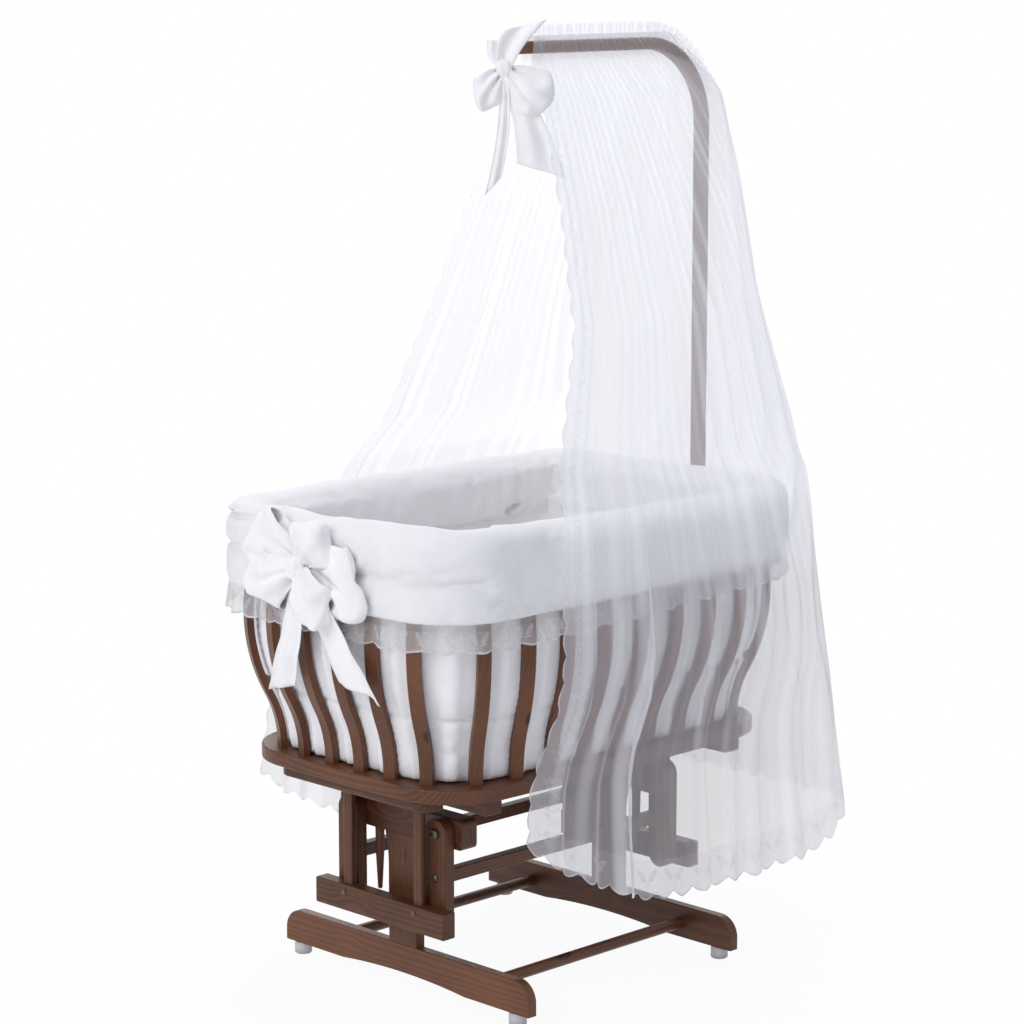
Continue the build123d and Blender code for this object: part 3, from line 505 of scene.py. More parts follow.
def puff(piece, held, pressure, travel, slack=0.0):
    """Fills a case as cloth does: the free points are blown out, the held ones stay, and no point ends
    further than travel from where it began. slack is how much larger the cloth is than its shape."""
    group = piece.vertex_groups.new(name="held")
    for weight in np.unique(held.round(2)):
        if weight > 0:
            group.add(np.nonzero(held.round(2) == weight)[0].tolist(), float(weight), "REPLACE")
    before = read_points(piece)
    cloth = piece.modifiers.new("case", "CLOTH")
    settings = cloth.settings
    for name, value in CASE_CLOTH.items():
        setattr(settings, name, value)
    settings.uniform_pressure_force = pressure
    settings.shrink_min = -slack
    settings.effector_weights.gravity = 0
    settings.vertex_group_mass = "held"
    settings.pin_stiffness = 1
    cloth.collision_settings.use_collision = False
    cloth.point_cache.frame_end = PUFF_MOMENTS
    scene = bpy.context.scene
    for moment in range(1, PUFF_MOMENTS + 1):
        scene.frame_set(moment)
    drawn = piece.evaluated_get(bpy.context.evaluated_depsgraph_get())
    after = np.empty(len(drawn.data.vertices) * 3)
    drawn.data.vertices.foreach_get("co", after)
    piece.modifiers.remove(cloth)
    scene.frame_set(1)
    shift = after.reshape(-1, 3) - before
    far = np.linalg.norm(shift, axis=1, keepdims=True)
    shift *= np.minimum(1.0, travel / np.maximum(far, 1e-9))
    write_points(piece, before + np.nan_to_num(shift))


THREAD_PITCH = 0.0012


def white_cotton(name, colour, relief_depth):
    """Plain-woven cotton: two thread waves at right angles make the weave, a soft noise makes small creases,
    and the colour is painted a little darker in the creases' valleys, as painted shade, and where the slubs
    are thin."""
    cotton = Finish(name, roughness=0.86, sheen_weight=0.12, sheen_roughness=0.5)
    place = cotton.place()
    along, across = cotton.sheet_place()
    creases = cotton.noise(place, 26.0, 4.0, 0.55, 0.8)
    slubs = cotton.noise(place, 420.0, 2.0)
    weave = 2 * math.pi / THREAD_PITCH
    threads = (along * weave).wave() * (across * weave).wave()
    # tone is lowest in the creases' valleys, which are painted darker as painted shade, and where the slubs
    # are thin, which is the yarn's own tone.
    tone = creases * 0.5 + slubs * 0.25 + threads * 0.04 + 0.1
    painted_shade_and_slub_colour = tuple(part * 0.93 for part in colour)
    cotton.feed(Base_Color=cotton.blend(painted_shade_and_slub_colour, colour, tone.rise(0.2, 0.6)), Roughness=slubs * 0.1 + 0.8)
    cotton.relief(creases + threads * 0.02 + slubs * 0.05, relief_depth, 0.6)
    return cotton.material


MATTRESS_HALF_X, MATTRESS_HALF_Y, MATTRESS_CORNER = 0.342, 0.212, 0.09
MATTRESS_LOW, MATTRESS_HIGH = 0.4158, 0.466
EDGE_BULGE, EDGE_HALF_HEIGHT, DOME_RISE = 0.016, 0.019, 0.008
mattress_line, mattress_out = even_ring(MATTRESS_HALF_X, MATTRESS_HALF_Y, MATTRESS_CORNER, 200)


def mattress_grid():
    """Rows of the outline drawn in towards the middle. The side is a half ellipse, and the top rises towards
    the middle like a shallow dome."""
    middle_z = (MATTRESS_LOW + MATTRESS_HIGH) / 2 - 0.004
    turn = np.linspace(-math.pi / 2, math.pi / 2, 19)
    side = [(np.cos(angle) * EDGE_BULGE - EDGE_BULGE, middle_z + np.sin(angle) * EDGE_HALF_HEIGHT)
            for angle in turn]
    grid = [np.column_stack([mattress_line + mattress_out * inset, np.full(len(mattress_line), z)])
            for inset, z in side]
    edge = mattress_line - mattress_out * EDGE_BULGE
    shares = np.linspace(1.0, 0.04, 40)[1:]
    lower = [np.column_stack([edge * share, np.full(len(edge), MATTRESS_LOW)]) for share in shares[::-1]]
    dome = [np.column_stack([edge * share, np.full(len(edge), grid[-1][0, 2] + DOME_RISE * (1 - share**2))])
            for share in shares]
    return np.array(lower + grid + dome)


mattress_points = mattress_grid()
creased = ripples(mattress_points, 5, 0.05, 0.2)
on_top = smooth_step(mattress_points[..., 2], 0.44, 0.455)
mattress_points[..., 2] += on_top * creased * 0.0012
mattress_cotton = white_cotton("mattress_cotton", (0.86, 0.86, 0.865), 0.0015)
mattress_case = cloth_mesh("mattress_case", [mattress_points], mattress_cotton, around=True, ends=True,
                           outward=True)
puff(mattress_case, 1.0 - smooth_step(read_points(mattress_case)[:, 2], 0.418, 0.43), 3.0, 0.006)
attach(mattress_case, "basket")
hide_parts("mattress")


# Liner: a padded cotton bag inside the slats, tacked down at the basket's floor and hidden under the rim
# cover at its top. A row of stitches a third of the way up divides it into two swells, and it bulges out
# between the slats.
LINER_LEVELS = np.array([
    (0.4105, -0.004), (0.413, 0.001), (0.425, 0.005), (0.45, 0.0085), (0.47, 0.012), (0.503, 0.0245),
    (0.54, 0.040), (0.575, 0.051), (0.61, 0.057), (0.645, 0.0585), (0.68, 0.0565), (0.72, 0.046),
    (0.7445, 0.036)])
LINER_SEAM_Z = 0.52
SLAT_NODES = ("slats_front_end", "slats_rear_end", "slats_near_side", "slats_far_side")
LINER_THICKNESS = 0.010
BULGE_DEPTH, STITCH_DEPTH = 0.007, 0.004
liner_line, liner_out = even_ring(0.368, 0.238, 0.11, 330)


def bag_level(inset, z, share=1.0):
    return np.column_stack([(liner_line + liner_out * inset) * share, np.full(len(liner_line), z)])


def liner_grid():
    """The bag from the middle of its underside, out, up the outer wall, over the top, down the inner wall and
    in again over its floor. The wall's distance from the foot outline depends on the height alone."""
    outer = spaced(rounded(LINER_LEVELS, 2), 48)
    inner = outer[::-1] - (0.0, LINER_THICKNESS)
    inner = inner[inner[:, 0] > 0.4155]
    shares = np.linspace(0.05, 0.98, 14)
    under = [bag_level(outer[0, 1], 0.4095, share) for share in shares]
    floor = [bag_level(inner[-1, 1], 0.4152, share) for share in shares[::-1]]
    walls = [bag_level(offset, z) for z, offset in np.vstack([outer, inner])]
    return np.array(under + walls + floor), len(under), len(outer)


liner_points, liner_first, liner_count = liner_grid()
outer_wall = np.zeros(liner_points.shape[:2])
outer_wall[liner_first:liner_first + liner_count] = 1.0
height = liner_points[..., 2]
stitch = np.exp(-((height - LINER_SEAM_Z) / 0.005) ** 2)
free = outer_wall * smooth_step(height, 0.411, 0.416)
free = free * (1.0 - smooth_step(height, 0.715, 0.735)) * (1.0 - stitch)
wall_out = np.zeros_like(liner_points)
wall_out[..., :2] = liner_out[None, :, :]
tucks = ripples(liner_points * (1.0, 1.0, 0.35), 8, 0.03, 0.12)
slat_points = np.vstack([read_points(nodes[name]) for name in SLAT_NODES])
level = slat_points[(slat_points[:, 2] > 0.56) & (slat_points[:, 2] < 0.66), :2]
belly = liner_line + liner_out * 0.066
to_slat = np.min(np.linalg.norm(belly[:, None, :] - level[None, :, :], axis=2), axis=1)
between_slats = smooth_step(to_slat, 0.012, 0.034)
bulge = free * between_slats * BULGE_DEPTH
liner_points += wall_out * (free * tucks * 0.0012 + bulge - outer_wall * stitch * STITCH_DEPTH)[..., None]
liner_cotton = white_cotton("liner_cotton", (0.94, 0.937, 0.945), 0.002)
liner_bag = cloth_mesh("padded_liner", [liner_points], liner_cotton, around=True, ends=True, outward=True)
puff(liner_bag, 1.0 - (free * (0.3 + 0.7 * between_slats)).ravel() * 0.999, 5.0, 0.005, 0.03)
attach(liner_bag, "basket")
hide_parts("liner")


# Rim cover: a padded cotton channel turned down over the rim rail. At the bow end and round its corners it is
# folded into two bands, a full upper roll and a flat lower band; along the sides the fold runs out.
RIM_HALF_X, RIM_HALF_Y, RIM_CORNER = 0.420, 0.290, 0.095
COVER_SECTION = np.array([
    (0.0205, 0.6905), (0.0262, 0.6905), (0.0275, 0.700), (0.0275, 0.745), (0.0275, 0.775), (0.0265, 0.808),
    (0.0215, 0.831), (0.004, 0.8425), (-0.018, 0.8415), (-0.036, 0.832), (-0.0435, 0.808), (-0.0435, 0.775),
    (-0.0425, 0.750), (-0.0385, 0.725), (-0.030, 0.695), (-0.019, 0.673), (-0.0085, 0.664), (-0.0115, 0.676),
    (-0.0205, 0.698), (-0.0275, 0.7200), (-0.0290, 0.7455), (-0.0185, 0.7460), (-0.0175, 0.7910),
    (0.0172, 0.7910), (0.0172, 0.745), (0.0205, 0.7285)])
FOLD_Z, FOLD_DEPTH = 0.753, 0.0094
CLEAR_OF_RAIL = 0.0235
cover_line, cover_out = even_ring(RIM_HALF_X, RIM_HALF_Y, RIM_CORNER, 320)


def cover_grid():
    """The channel's section carried round the rim. Its outer face is pressed in along the fold, gently from
    above and sharply from below, and pinched once more above the fold at the bow end's corners. The padding
    slumps inwards at the bow end's far corner and lies lower along the far side and towards the rear."""
    section = spaced(rounded(np.vstack([COVER_SECTION, COVER_SECTION[:1]]), 2), 113)[:-1]
    inset, z = section[:, 0][:, None], section[:, 1][:, None]
    x, y = cover_line[:, 0][None, :], cover_line[:, 1][None, :]
    outside = smooth_step(inset, 0.0215, 0.0245)
    folded = smooth_step(-x, 0.30, 0.415)
    above, below = z >= FOLD_Z, z < FOLD_Z
    press = above * np.exp(-((z - FOLD_Z) / 0.012) ** 2) + below * np.exp(-((FOLD_Z - z) / 0.0035) ** 2)
    near_corner = np.exp(-(((x + 0.405) / 0.09) ** 2 + ((abs(y) - 0.27) / 0.10) ** 2))
    pinch_z = 0.782 + 0.10 * (abs(y) - 0.27)
    pinch = np.exp(-((z - pinch_z) / 0.006) ** 2) * near_corner
    roll = np.exp(-((z - 0.797) / 0.027) ** 2)
    at_rail = smooth_step(z, 0.759, 0.766) * (1.0 - smooth_step(z, 0.793, 0.799))
    pressed = np.minimum(folded * FOLD_DEPTH * press + 0.006 * pinch, FOLD_DEPTH - FOLD_DEPTH * at_rail)
    slump = near_far_corner(x, y)
    inset = inset + outside * (folded * 0.0065 * roll * (1.0 - slump) - pressed)
    inset = inset - slump * outside * (0.004 + 0.024 * smooth_step(z, 0.792, 0.835))
    in_corner = smooth_step(abs(x), 0.20, 0.40) * smooth_step(abs(y), 0.08, 0.27)
    inset = inset - in_corner * (inset < -0.005) * (1.0 - smooth_step(z, 0.66, 0.76)) * 0.020
    z = z - slump * smooth_step(z, 0.792, 0.835) * 0.012
    grid = np.zeros((len(section), len(cover_line), 3))
    grid[..., :2] = cover_line + cover_out * inset[..., None]
    towards_rear = smooth_step(x, -0.36, 0.42)
    lower_top = 0.010 * smooth_step(y, -0.15, 0.25) + 0.011 * towards_rear
    z = z - smooth_step(z, 0.792, 0.835) * np.minimum(lower_top, 0.015)
    grid[..., 2] = z + outside * hem_rise(x) * (1.0 - smooth_step(z, 0.69, 0.775))
    return grid, section


def near_far_corner(x, y):
    """A bell curve that is 1 at the bow end's far corner of the rim."""
    return np.exp(-(((x + RIM_HALF_X) / 0.15) ** 2 + ((y - RIM_HALF_Y) / 0.13) ** 2))


def hem_rise(x):
    """How far the hem lies above its height at the bow end, where the cover is deepest."""
    return 0.022 * smooth_step(x, -0.40, 0.46)


cover_points, cover_section = cover_grid()
hidden = ((abs(cover_section[:, 0]) < 0.0195) & (cover_section[:, 1] < 0.7915)) | (
    (cover_section[:, 0] > -0.036) & (cover_section[:, 0] < 0.022) & (cover_section[:, 1] < 0.75))
loose = (1.0 - hidden)[:, None] * np.ones(len(cover_line))
inner_face = smooth_step(-cover_section[:, 0], 0.030, 0.040)[:, None]
gathers = ripples(cover_points * (1.0, 1.0, 0.12), 21, 0.02, 0.05)
gathered = 0.25 + 0.75 * smooth_step(cover_line[:, 0] + np.abs(cover_line[:, 1]), 0.35, 0.62)[None, :]
slack = ripples(cover_points * (1.0, 1.0, 1.6), 13, 0.05, 0.22)
creases = (1.0 - np.abs(ripples(cover_points * (1.0, 1.0, 2.2), 17, 0.07, 0.2))) ** 6
cover_shift = loose * (slack * 0.0012 - creases * 0.0014 + inner_face * gathered * gathers * 0.0022)
cover_shift = cover_shift * np.where(inner_face > 0.5, -1.0, 1.0)
cover_points[..., :2] += cover_out[None, :, :] * cover_shift[..., None]
cover_points[..., 2] += loose * smooth_step(cover_points[..., 2], 0.82, 0.838) * slack * 0.0012
cover_cotton = white_cotton("cover_cotton", (0.88, 0.88, 0.882), 0.002)
rim_cover = cloth_mesh("padded_rim_cover", [cover_points], cover_cotton, around=True, looped=True,
                       outward=True)
fold_held = np.exp(-((cover_points[..., 2] - FOLD_Z) / 0.004) ** 2) * (cover_points[..., 0] < -0.36)
hem_held = 1.0 - smooth_step(cover_points[..., 2] - hem_rise(cover_points[..., 0]), 0.694, 0.70)
puff(rim_cover, np.clip(1.0 - loose + fold_held + hem_held, 0.0, 1.0).ravel(), 4.0, 0.006, 0.02)

# The filled cover still has to pass outside the rail, so its outer face is moved out where it lies closer.
settled = read_points(rim_cover).reshape(cover_points.shape)
reach = ((settled[..., :2] - cover_line) * cover_out).sum(axis=-1)
beside_rail = smooth_step(settled[..., 2], 0.760, 0.767) * (1.0 - smooth_step(settled[..., 2], 0.793, 0.80))
push = np.maximum(CLEAR_OF_RAIL - reach, 0.0) * beside_rail * (cover_section[:, 0] > 0.0205)[:, None]
settled[..., :2] += cover_out * push[..., None]
write_points(rim_cover, settled)
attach(rim_cover, "basket")
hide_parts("rim_cover")


# Lace ruffle: a gathered strip of net lace, sewn under the rim cover's hem and hanging outside the slats. Its
# lower edge is scalloped and corded, with an embroidered sprig in each scallop.
SCALLOP = 0.046
NET_MESH = 0.0016
RUFFLE_HIGH, RUFFLE_LOW = 0.6925, 0.647
RUFFLE_ROWS, RUFFLE_GATHERS = 12, 86
ruffle_line, ruffle_out = even_ring(RIM_HALF_X, RIM_HALF_Y, RIM_CORNER, 1120)


def sheer_cloth(name, colour, cover, edges, motif_rise, streaks=0.0):
    """White net with an embroidered border. cover is how much of the light the bare net stops, edges holds
    the cloth's whole width and drop, and the border runs along its hem and, where the width is given, up its
    sides.

    Each scallop holds a sprig: two leaves, which are ellipses leaning apart, over a round eyelet. The cord
    lies along the very edge."""
    width, drop = edges
    net = Finish(name, roughness=0.8)
    along, down = net.sheet_place()
    above_hem = drop - down
    if width:
        from_side = along.least(width - along)
        at_side = (above_hem - from_side).rise(-0.001, 0.001)
        edge = above_hem.least(from_side)
        run = along + (down - along) * at_side
    else:
        edge, run = above_hem, along
    cell = run / SCALLOP
    cell = (cell - cell.floor() - 0.5) * SCALLOP
    up = edge - motif_rise

    def leaf(lean, middle, reach, girth):
        mirrored = abs(cell)
        x, y = mirrored - middle[0], up - middle[1]
        long_way = x * math.cos(lean) + y * math.sin(lean)
        short_way = y * math.cos(lean) - x * math.sin(lean)
        return (long_way / reach) * (long_way / reach) + (short_way / girth) * (short_way / girth)

    outer_leaf = leaf(0.9, (0.0095, 0.006), 0.0115, 0.005)
    stem = leaf(0.2, (0.006, -0.004), 0.007, 0.0022)
    sprig = (1.0 - outer_leaf.rise(0.7, 1.0)).most(1.0 - stem.rise(0.6, 1.0))
    vein = 1.0 - outer_leaf.rise(0.02, 0.08)
    eyelet_ring = 1.0 - (abs(leaf(0.0, (0.0, -0.011), 0.0035, 0.0035) - 0.8)).rise(0.3, 0.6)
    cord = 1.0 - edge.rise(0.0022, 0.0032)
    top_cord = 1.0 - (abs(edge - motif_rise * 1.9)).rise(0.0008, 0.0018)
    worked = (sprig.most(eyelet_ring) * 0.8).most(cord).most(top_cord * 0.6) - vein * 0.2
    mesh_lines = (along * (math.pi / NET_MESH)).wave() * (down * (math.pi / NET_MESH)).wave()
    ground = abs(mesh_lines) * -0.12 + (cover + 0.05)
    if streaks:
        place = net.add("ShaderNodeCombineXYZ", {}, {0: along * 22.0, 1: down * 0.9})
        steepness = net.add("ShaderNodeAttribute", {"attribute_name": "steepness"}, {}, "Fac")
        ground = ground + (net.noise(place, 1.0, 3.0, 0.6) - 0.5) * streaks + steepness * 0.24
    in_border = 1.0 - edge.rise(motif_rise * 1.9, motif_rise * 2.0)
    share = (ground + in_border * 0.08).most(worked * 0.9).most(0.04).least(0.95)
    net.feed(Base_Color=colour)
    net.relief(worked, 0.0004, 0.6)
    glow = net.add("ShaderNodeBsdfTranslucent", {}, {"Color": colour})
    clear = net.add("ShaderNodeBsdfTransparent", {}, {})
    lit = net.add("ShaderNodeMixShader", {}, {0: 0.6, 1: Shade(net, net.surface.outputs[0]), 2: glow})
    net.join(net.output.inputs[0], net.add("ShaderNodeMixShader", {}, {0: share, 1: clear, 2: lit}))
    return net.material


def ruffle_grid():
    """Rows hanging from the hem. The strip swings out and in with the gathers, more towards its lower edge,
    which rises and falls by the scallops."""
    drop = np.linspace(0.0, 1.0, RUFFLE_ROWS)[:, None]
    run = np.linspace(0.0, 1.0, len(ruffle_line), endpoint=False)[None, :]
    girth = np.linalg.norm(np.diff(ruffle_line, axis=0), axis=1).sum()
    places = np.concatenate([ruffle_line, np.zeros((len(ruffle_line), 1))], axis=1)[None]
    wander = ripples(places, 31, 0.08, 0.3)
    gather = np.sin(2 * math.pi * RUFFLE_GATHERS * run + wander * 2.4) * 0.5 + 0.5
    far_corner = near_far_corner(ruffle_line[:, 0], ruffle_line[:, 1])
    lap = 0.0256 + gather * (0.0008 + 0.0062 * drop) + drop * 0.0015 - far_corner * 0.004
    scallop = np.abs(np.sin(math.pi * run * round(girth / SCALLOP)))
    grid = np.zeros((RUFFLE_ROWS, len(ruffle_line), 3))
    grid[..., :2] = ruffle_line + ruffle_out * lap[..., None]
    grid[..., 2] = RUFFLE_HIGH - (RUFFLE_HIGH - RUFFLE_LOW) * drop - drop**4 * (scallop - 0.6) * 0.006
    grid[..., 2] += hem_rise(ruffle_line[:, 0])
    return grid


WHITE_NET = (0.96, 0.96, 0.975)
ruffle_drop = RUFFLE_HIGH - RUFFLE_LOW
lace_ruffle = cloth_mesh("gathered_lace_ruffle", [ruffle_grid()],
                         sheer_cloth("ruffle_lace", WHITE_NET, 0.42, (0.0, ruffle_drop), 0.017), around=True)
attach(lace_ruffle, "basket")
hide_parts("lace_ruffle")


# Front bow: a wide ribbon of the cover's cotton tied in a double bow and sewn to the bow end. Two large loops
# droop behind two smaller ones, two tails hang over the slats, and a tight knot wraps the middle.
def bow_frame(origin, right, up, out):
    """A function that takes a bow's own measures to places in the crib: right, up and out from the knot."""
    axes = np.array([right, up, out])
    return lambda local: np.array(origin) + local @ axes


def loop_grid(lean, length, girth, depth, start, seed, sag=0.0, rows=44, columns=27):
    """A ribbon that runs out from the knot along a leaning line and back behind itself. Its distance follows
    a half sine wave, its front and back lie on an ellipse, and it is pinched at the knot and full at the
    end."""
    turn = np.linspace(0.0, 1.0, rows)[:, None]
    side = np.linspace(-1.0, 1.0, columns)[None, :]
    reach = np.sin(math.pi * turn) ** 0.8
    spread = 0.14 + 0.86 * np.sin(math.pi * turn) ** 0.75
    pleat = np.cos(side * 2.5 * math.pi + seed) * (1.0 - reach) ** 0.6
    out = start + depth * (0.5 + 0.5 * np.sin(2 * math.pi * turn)) * (1.0 - 0.45 * side**2) + pleat * 0.007
    along = length * reach * (1.0 - 0.40 * side**2 + 0.04 * np.sin(side * 4.0 + seed))
    across = girth * spread * side
    along, across, out = np.broadcast_arrays(along, across, out)
    right = along * math.cos(lean) - across * math.sin(lean)
    up = along * math.sin(lean) + across * math.cos(lean) - sag * (along / length) ** 2
    grid = np.stack([right, up, out], axis=-1)
    crush = ripples(grid, seed, 0.035, 0.10) * 0.0065 + ripples(grid, seed + 1, 0.016, 0.04) * 0.0014
    grid[..., 2] = np.maximum(grid[..., 2] + crush * reach, 0.002)
    grid[..., 1] += ripples(grid, seed + 2, 0.05, 0.12) * reach * 0.006
    grid[..., 0] += ripples(grid, seed + 3, 0.05, 0.12) * reach * 0.005
    return grid


def tail_grid(tip, start_half, end_half, out, seed, cut=0.0, rows=46, columns=15):
    """A tail that widens from the knot to its tip, with long folds. cut slants its end."""
    run = np.linspace(0.0, 1.0, rows)[:, None]
    side = np.linspace(-1.0, 1.0, columns)[None, :]
    way = np.array(tip) / np.linalg.norm(tip)
    cross = np.array([-way[1], way[0]])
    half = start_half + (end_half - start_half) * run**0.8
    stretch = run * (1.0 + cut * side * run)
    bend = np.sin(run * math.pi) * 0.008
    right = tip[0] * stretch + cross[0] * (half * side + bend)
    up = tip[1] * stretch + cross[1] * (half * side + bend)
    fold = np.cos(side * 4.2 + seed) * 0.0045 * (0.4 + run) + side**2 * 0.004
    depth = out * (1.0 - run) ** 0.7 + 0.0045 + fold
    grid = np.stack(np.broadcast_arrays(right, up, depth), axis=-1).copy()
    grid[..., 2] += ripples(grid, seed, 0.04, 0.12) * 0.0022 * run
    return grid


def knot_grid(half_across, half_up, half_out, seed, rows=28, columns=40):
    """A wrapped knot: a rounded block, pinched to the sides, with ridges that run up and down."""
    rise = np.linspace(-math.pi / 2 * 0.985, math.pi / 2 * 0.985, rows)[:, None]
    turn = np.linspace(0.0, 2 * math.pi, columns, endpoint=False)[None, :]
    ridges = 1.0 + 0.07 * np.cos(turn * 5 + seed) * np.cos(rise)
    x = half_across * np.sign(np.cos(turn)) * np.abs(np.cos(turn)) ** 0.8 * np.cos(rise) ** 0.5 * ridges
    out = half_out * np.sign(np.sin(turn)) * np.abs(np.sin(turn)) ** 0.9 * np.cos(rise) ** 0.5 * ridges
    up = half_up * np.sin(rise) * np.ones_like(turn)
    return np.stack(np.broadcast_arrays(x, up, out), axis=-1).copy()


RIBBON_THICKNESS = 0.0012


def tie_bow(name, frame_of, parts, knot, knot_out, material, body):
    """Builds a bow's ribbon and its knot as two pieces, and gives the ribbon a cut cloth's thickness."""
    ribbon = cloth_mesh(f"{name}_ribbon", [frame_of(grid) for grid in parts], material)
    thickness = ribbon.modifiers.new("cloth_thickness", "SOLIDIFY")
    thickness.thickness = RIBBON_THICKNESS
    thickness.offset = 0.0
    knot = knot + (0.0, 0.0, knot_out)
    wrap = cloth_mesh(f"{name}_knot", [frame_of(knot)], material, around=True, ends=True, outward=True)
    for piece in (ribbon, wrap):
        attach(piece, body)
    return ribbon, wrap


# The bows' cotton is painted whiter than the cover's cotton, as painted light that lifts the bows out of their
# shade.
painted_light_bow_cotton = white_cotton("painted_light_bow_cotton", (0.95, 0.95, 0.945), 0.0012)
on_bow_end = bow_frame((-0.4485, 0.0, 0.759), (0.0, -1.0, 0.0), (0.0, 0.0, 1.0), (-1.0, 0.0, 0.0))
front_parts = [
    loop_grid(-0.16, 0.138, 0.066, 0.034, 0.003, 41, 0.022),
    loop_grid(math.pi - 0.30, 0.146, 0.062, 0.040, 0.003, 43, 0.004),
    loop_grid(0.92, 0.090, 0.052, 0.046, 0.012, 47),
    loop_grid(math.pi + 0.38, 0.112, 0.050, 0.048, 0.016, 53, 0.010),
    loop_grid(-0.86, 0.110, 0.050, 0.046, 0.020, 59),
    tail_grid((0.120, -0.194), 0.012, 0.040, 0.030, 2, 0.16),
    tail_grid((-0.074, -0.216), 0.012, 0.028, 0.026, 6, -0.08),
]
front_ribbon, front_knot = tie_bow(
    "front_bow", on_bow_end, front_parts, knot_grid(0.016, 0.019, 0.014, 1.0), 0.040, painted_light_bow_cotton, "basket")
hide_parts("front_bow")


# Canopy net: one wide sheet of sheer net. A casing along its middle runs over the pole's arm, with a small
# frill standing above it, and the two halves fall outside the basket, joined behind the pole and open in
# front. A scalloped lace border is worked along its hem and front edges.
NET_TOP, NET_SEAM = 1.5895, 1.5525

# Each table but the last goes by height: half the tent's width, how far back it reaches, the radius of its
# rear corners, and where its two front edges stand. The last gives the hem's height along the crib.
NET_HALF = np.array([
    (0.160, 0.344), (0.45, 0.340), (0.70, 0.335), (0.845, 0.329), (0.917, 0.292), (1.115, 0.208),
    (1.309, 0.124), (1.396, 0.082), (1.48, 0.044), (1.53, 0.020), (1.545, 0.0135), (1.5525, 0.0125),
    (1.560, 0.0150), (1.580, 0.0145), (1.5865, 0.0115), (1.5895, 0.0008)])
NET_REAR = np.array([
    (0.160, 0.514), (0.845, 0.512), (1.40, 0.504), (1.48, 0.497), (1.54, 0.456), (1.566, 0.415),
    (1.5895, 0.386)])
NET_REAR_CORNER = np.array([
    (0.160, 0.030), (0.242, 0.040), (0.45, 0.100), (0.647, 0.157), (0.845, 0.215), (0.891, 0.215),
    (1.151, 0.165), (1.396, 0.070), (1.48, 0.036), (1.53, 0.014), (1.5525, 0.010), (1.580, 0.010),
    (1.5895, 0.0006)])
NEAR_EDGE = np.array([
    (0.160, -0.305), (0.318, -0.303), (0.402, -0.298), (0.45, -0.282), (0.53, -0.232), (0.60, -0.215),
    (0.845, -0.210), (0.908, -0.185), (1.120, -0.060), (1.309, -0.008), (1.396, 0.012), (1.48, 0.028),
    (1.5895, 0.040)])
FAR_EDGE = np.array([
    (0.160, -0.300), (0.402, -0.262), (0.65, -0.215), (0.838, -0.076), (0.917, -0.025), (1.115, 0.006),
    (1.309, 0.021), (1.396, 0.038), (1.48, 0.040), (1.5895, 0.040)])
NET_HEM = np.array([
    (-0.32, 0.345), (-0.30, 0.322), (-0.22, 0.268), (-0.137, 0.228), (-0.04, 0.186), (0.06, 0.172),
    (0.38, 0.174), (0.45, 0.192), (0.50, 0.232), (0.514, 0.250)])
NET_COLUMNS, NET_ROWS = 620, 150
FOLDS, FOLD_REACH = 21, 0.024


def at_height(table, z):
    return np.interp(z, table[:, 0], table[:, 1])


def net_place(share, z):
    """Places on the tent at a share of the way round (0 near front edge, 1 far front edge) and a height.

    A level cut is a line back along the near side, a quarter turn, the rear, a quarter turn and a line
    forward along the far side. The share is measured along that cut."""
    half, rear = at_height(NET_HALF, z), at_height(NET_REAR, z)
    corner = np.minimum(at_height(NET_REAR_CORNER, z), half * 0.98)
    near_run = rear - corner - at_height(NEAR_EDGE, z)
    far_run = rear - corner - at_height(FAR_EDGE, z)
    bend = corner * math.pi / 2
    back = 2 * (half - corner)
    run = share * (near_run + far_run + back + 2 * bend)
    stretches = np.cumsum(np.stack([near_run, bend, back, bend, far_run]), axis=0)
    near = run < stretches[0]
    turn_one = (run >= stretches[0]) & (run < stretches[1])
    behind = (run >= stretches[1]) & (run < stretches[2])
    turn_two = (run >= stretches[2]) & (run < stretches[3])
    far = run >= stretches[3]
    first = np.clip((run - stretches[0]) / np.maximum(corner, 1e-6), 0.0, math.pi / 2)
    second = np.clip((run - stretches[2]) / np.maximum(corner, 1e-6), 0.0, math.pi / 2)
    parts = [near, turn_one, behind, turn_two, far]
    x = np.select(parts, [
        at_height(NEAR_EDGE, z) + run, rear - corner + corner * np.sin(first), rear,
        rear - corner + corner * np.cos(second), rear - corner - (run - stretches[3])])
    y = np.select(parts, [
        -half, -half + corner - corner * np.cos(first), -half + corner + (run - stretches[1]),
        half - corner + corner * np.sin(second), half])
    out_x = np.select([near | far, turn_one, behind, turn_two], [0.0, np.sin(first), 1.0, np.cos(second)])
    out_y = np.select(parts, [-1.0, -np.cos(first), 0.0, np.sin(second), 1.0])
    return x, y, out_x, out_y


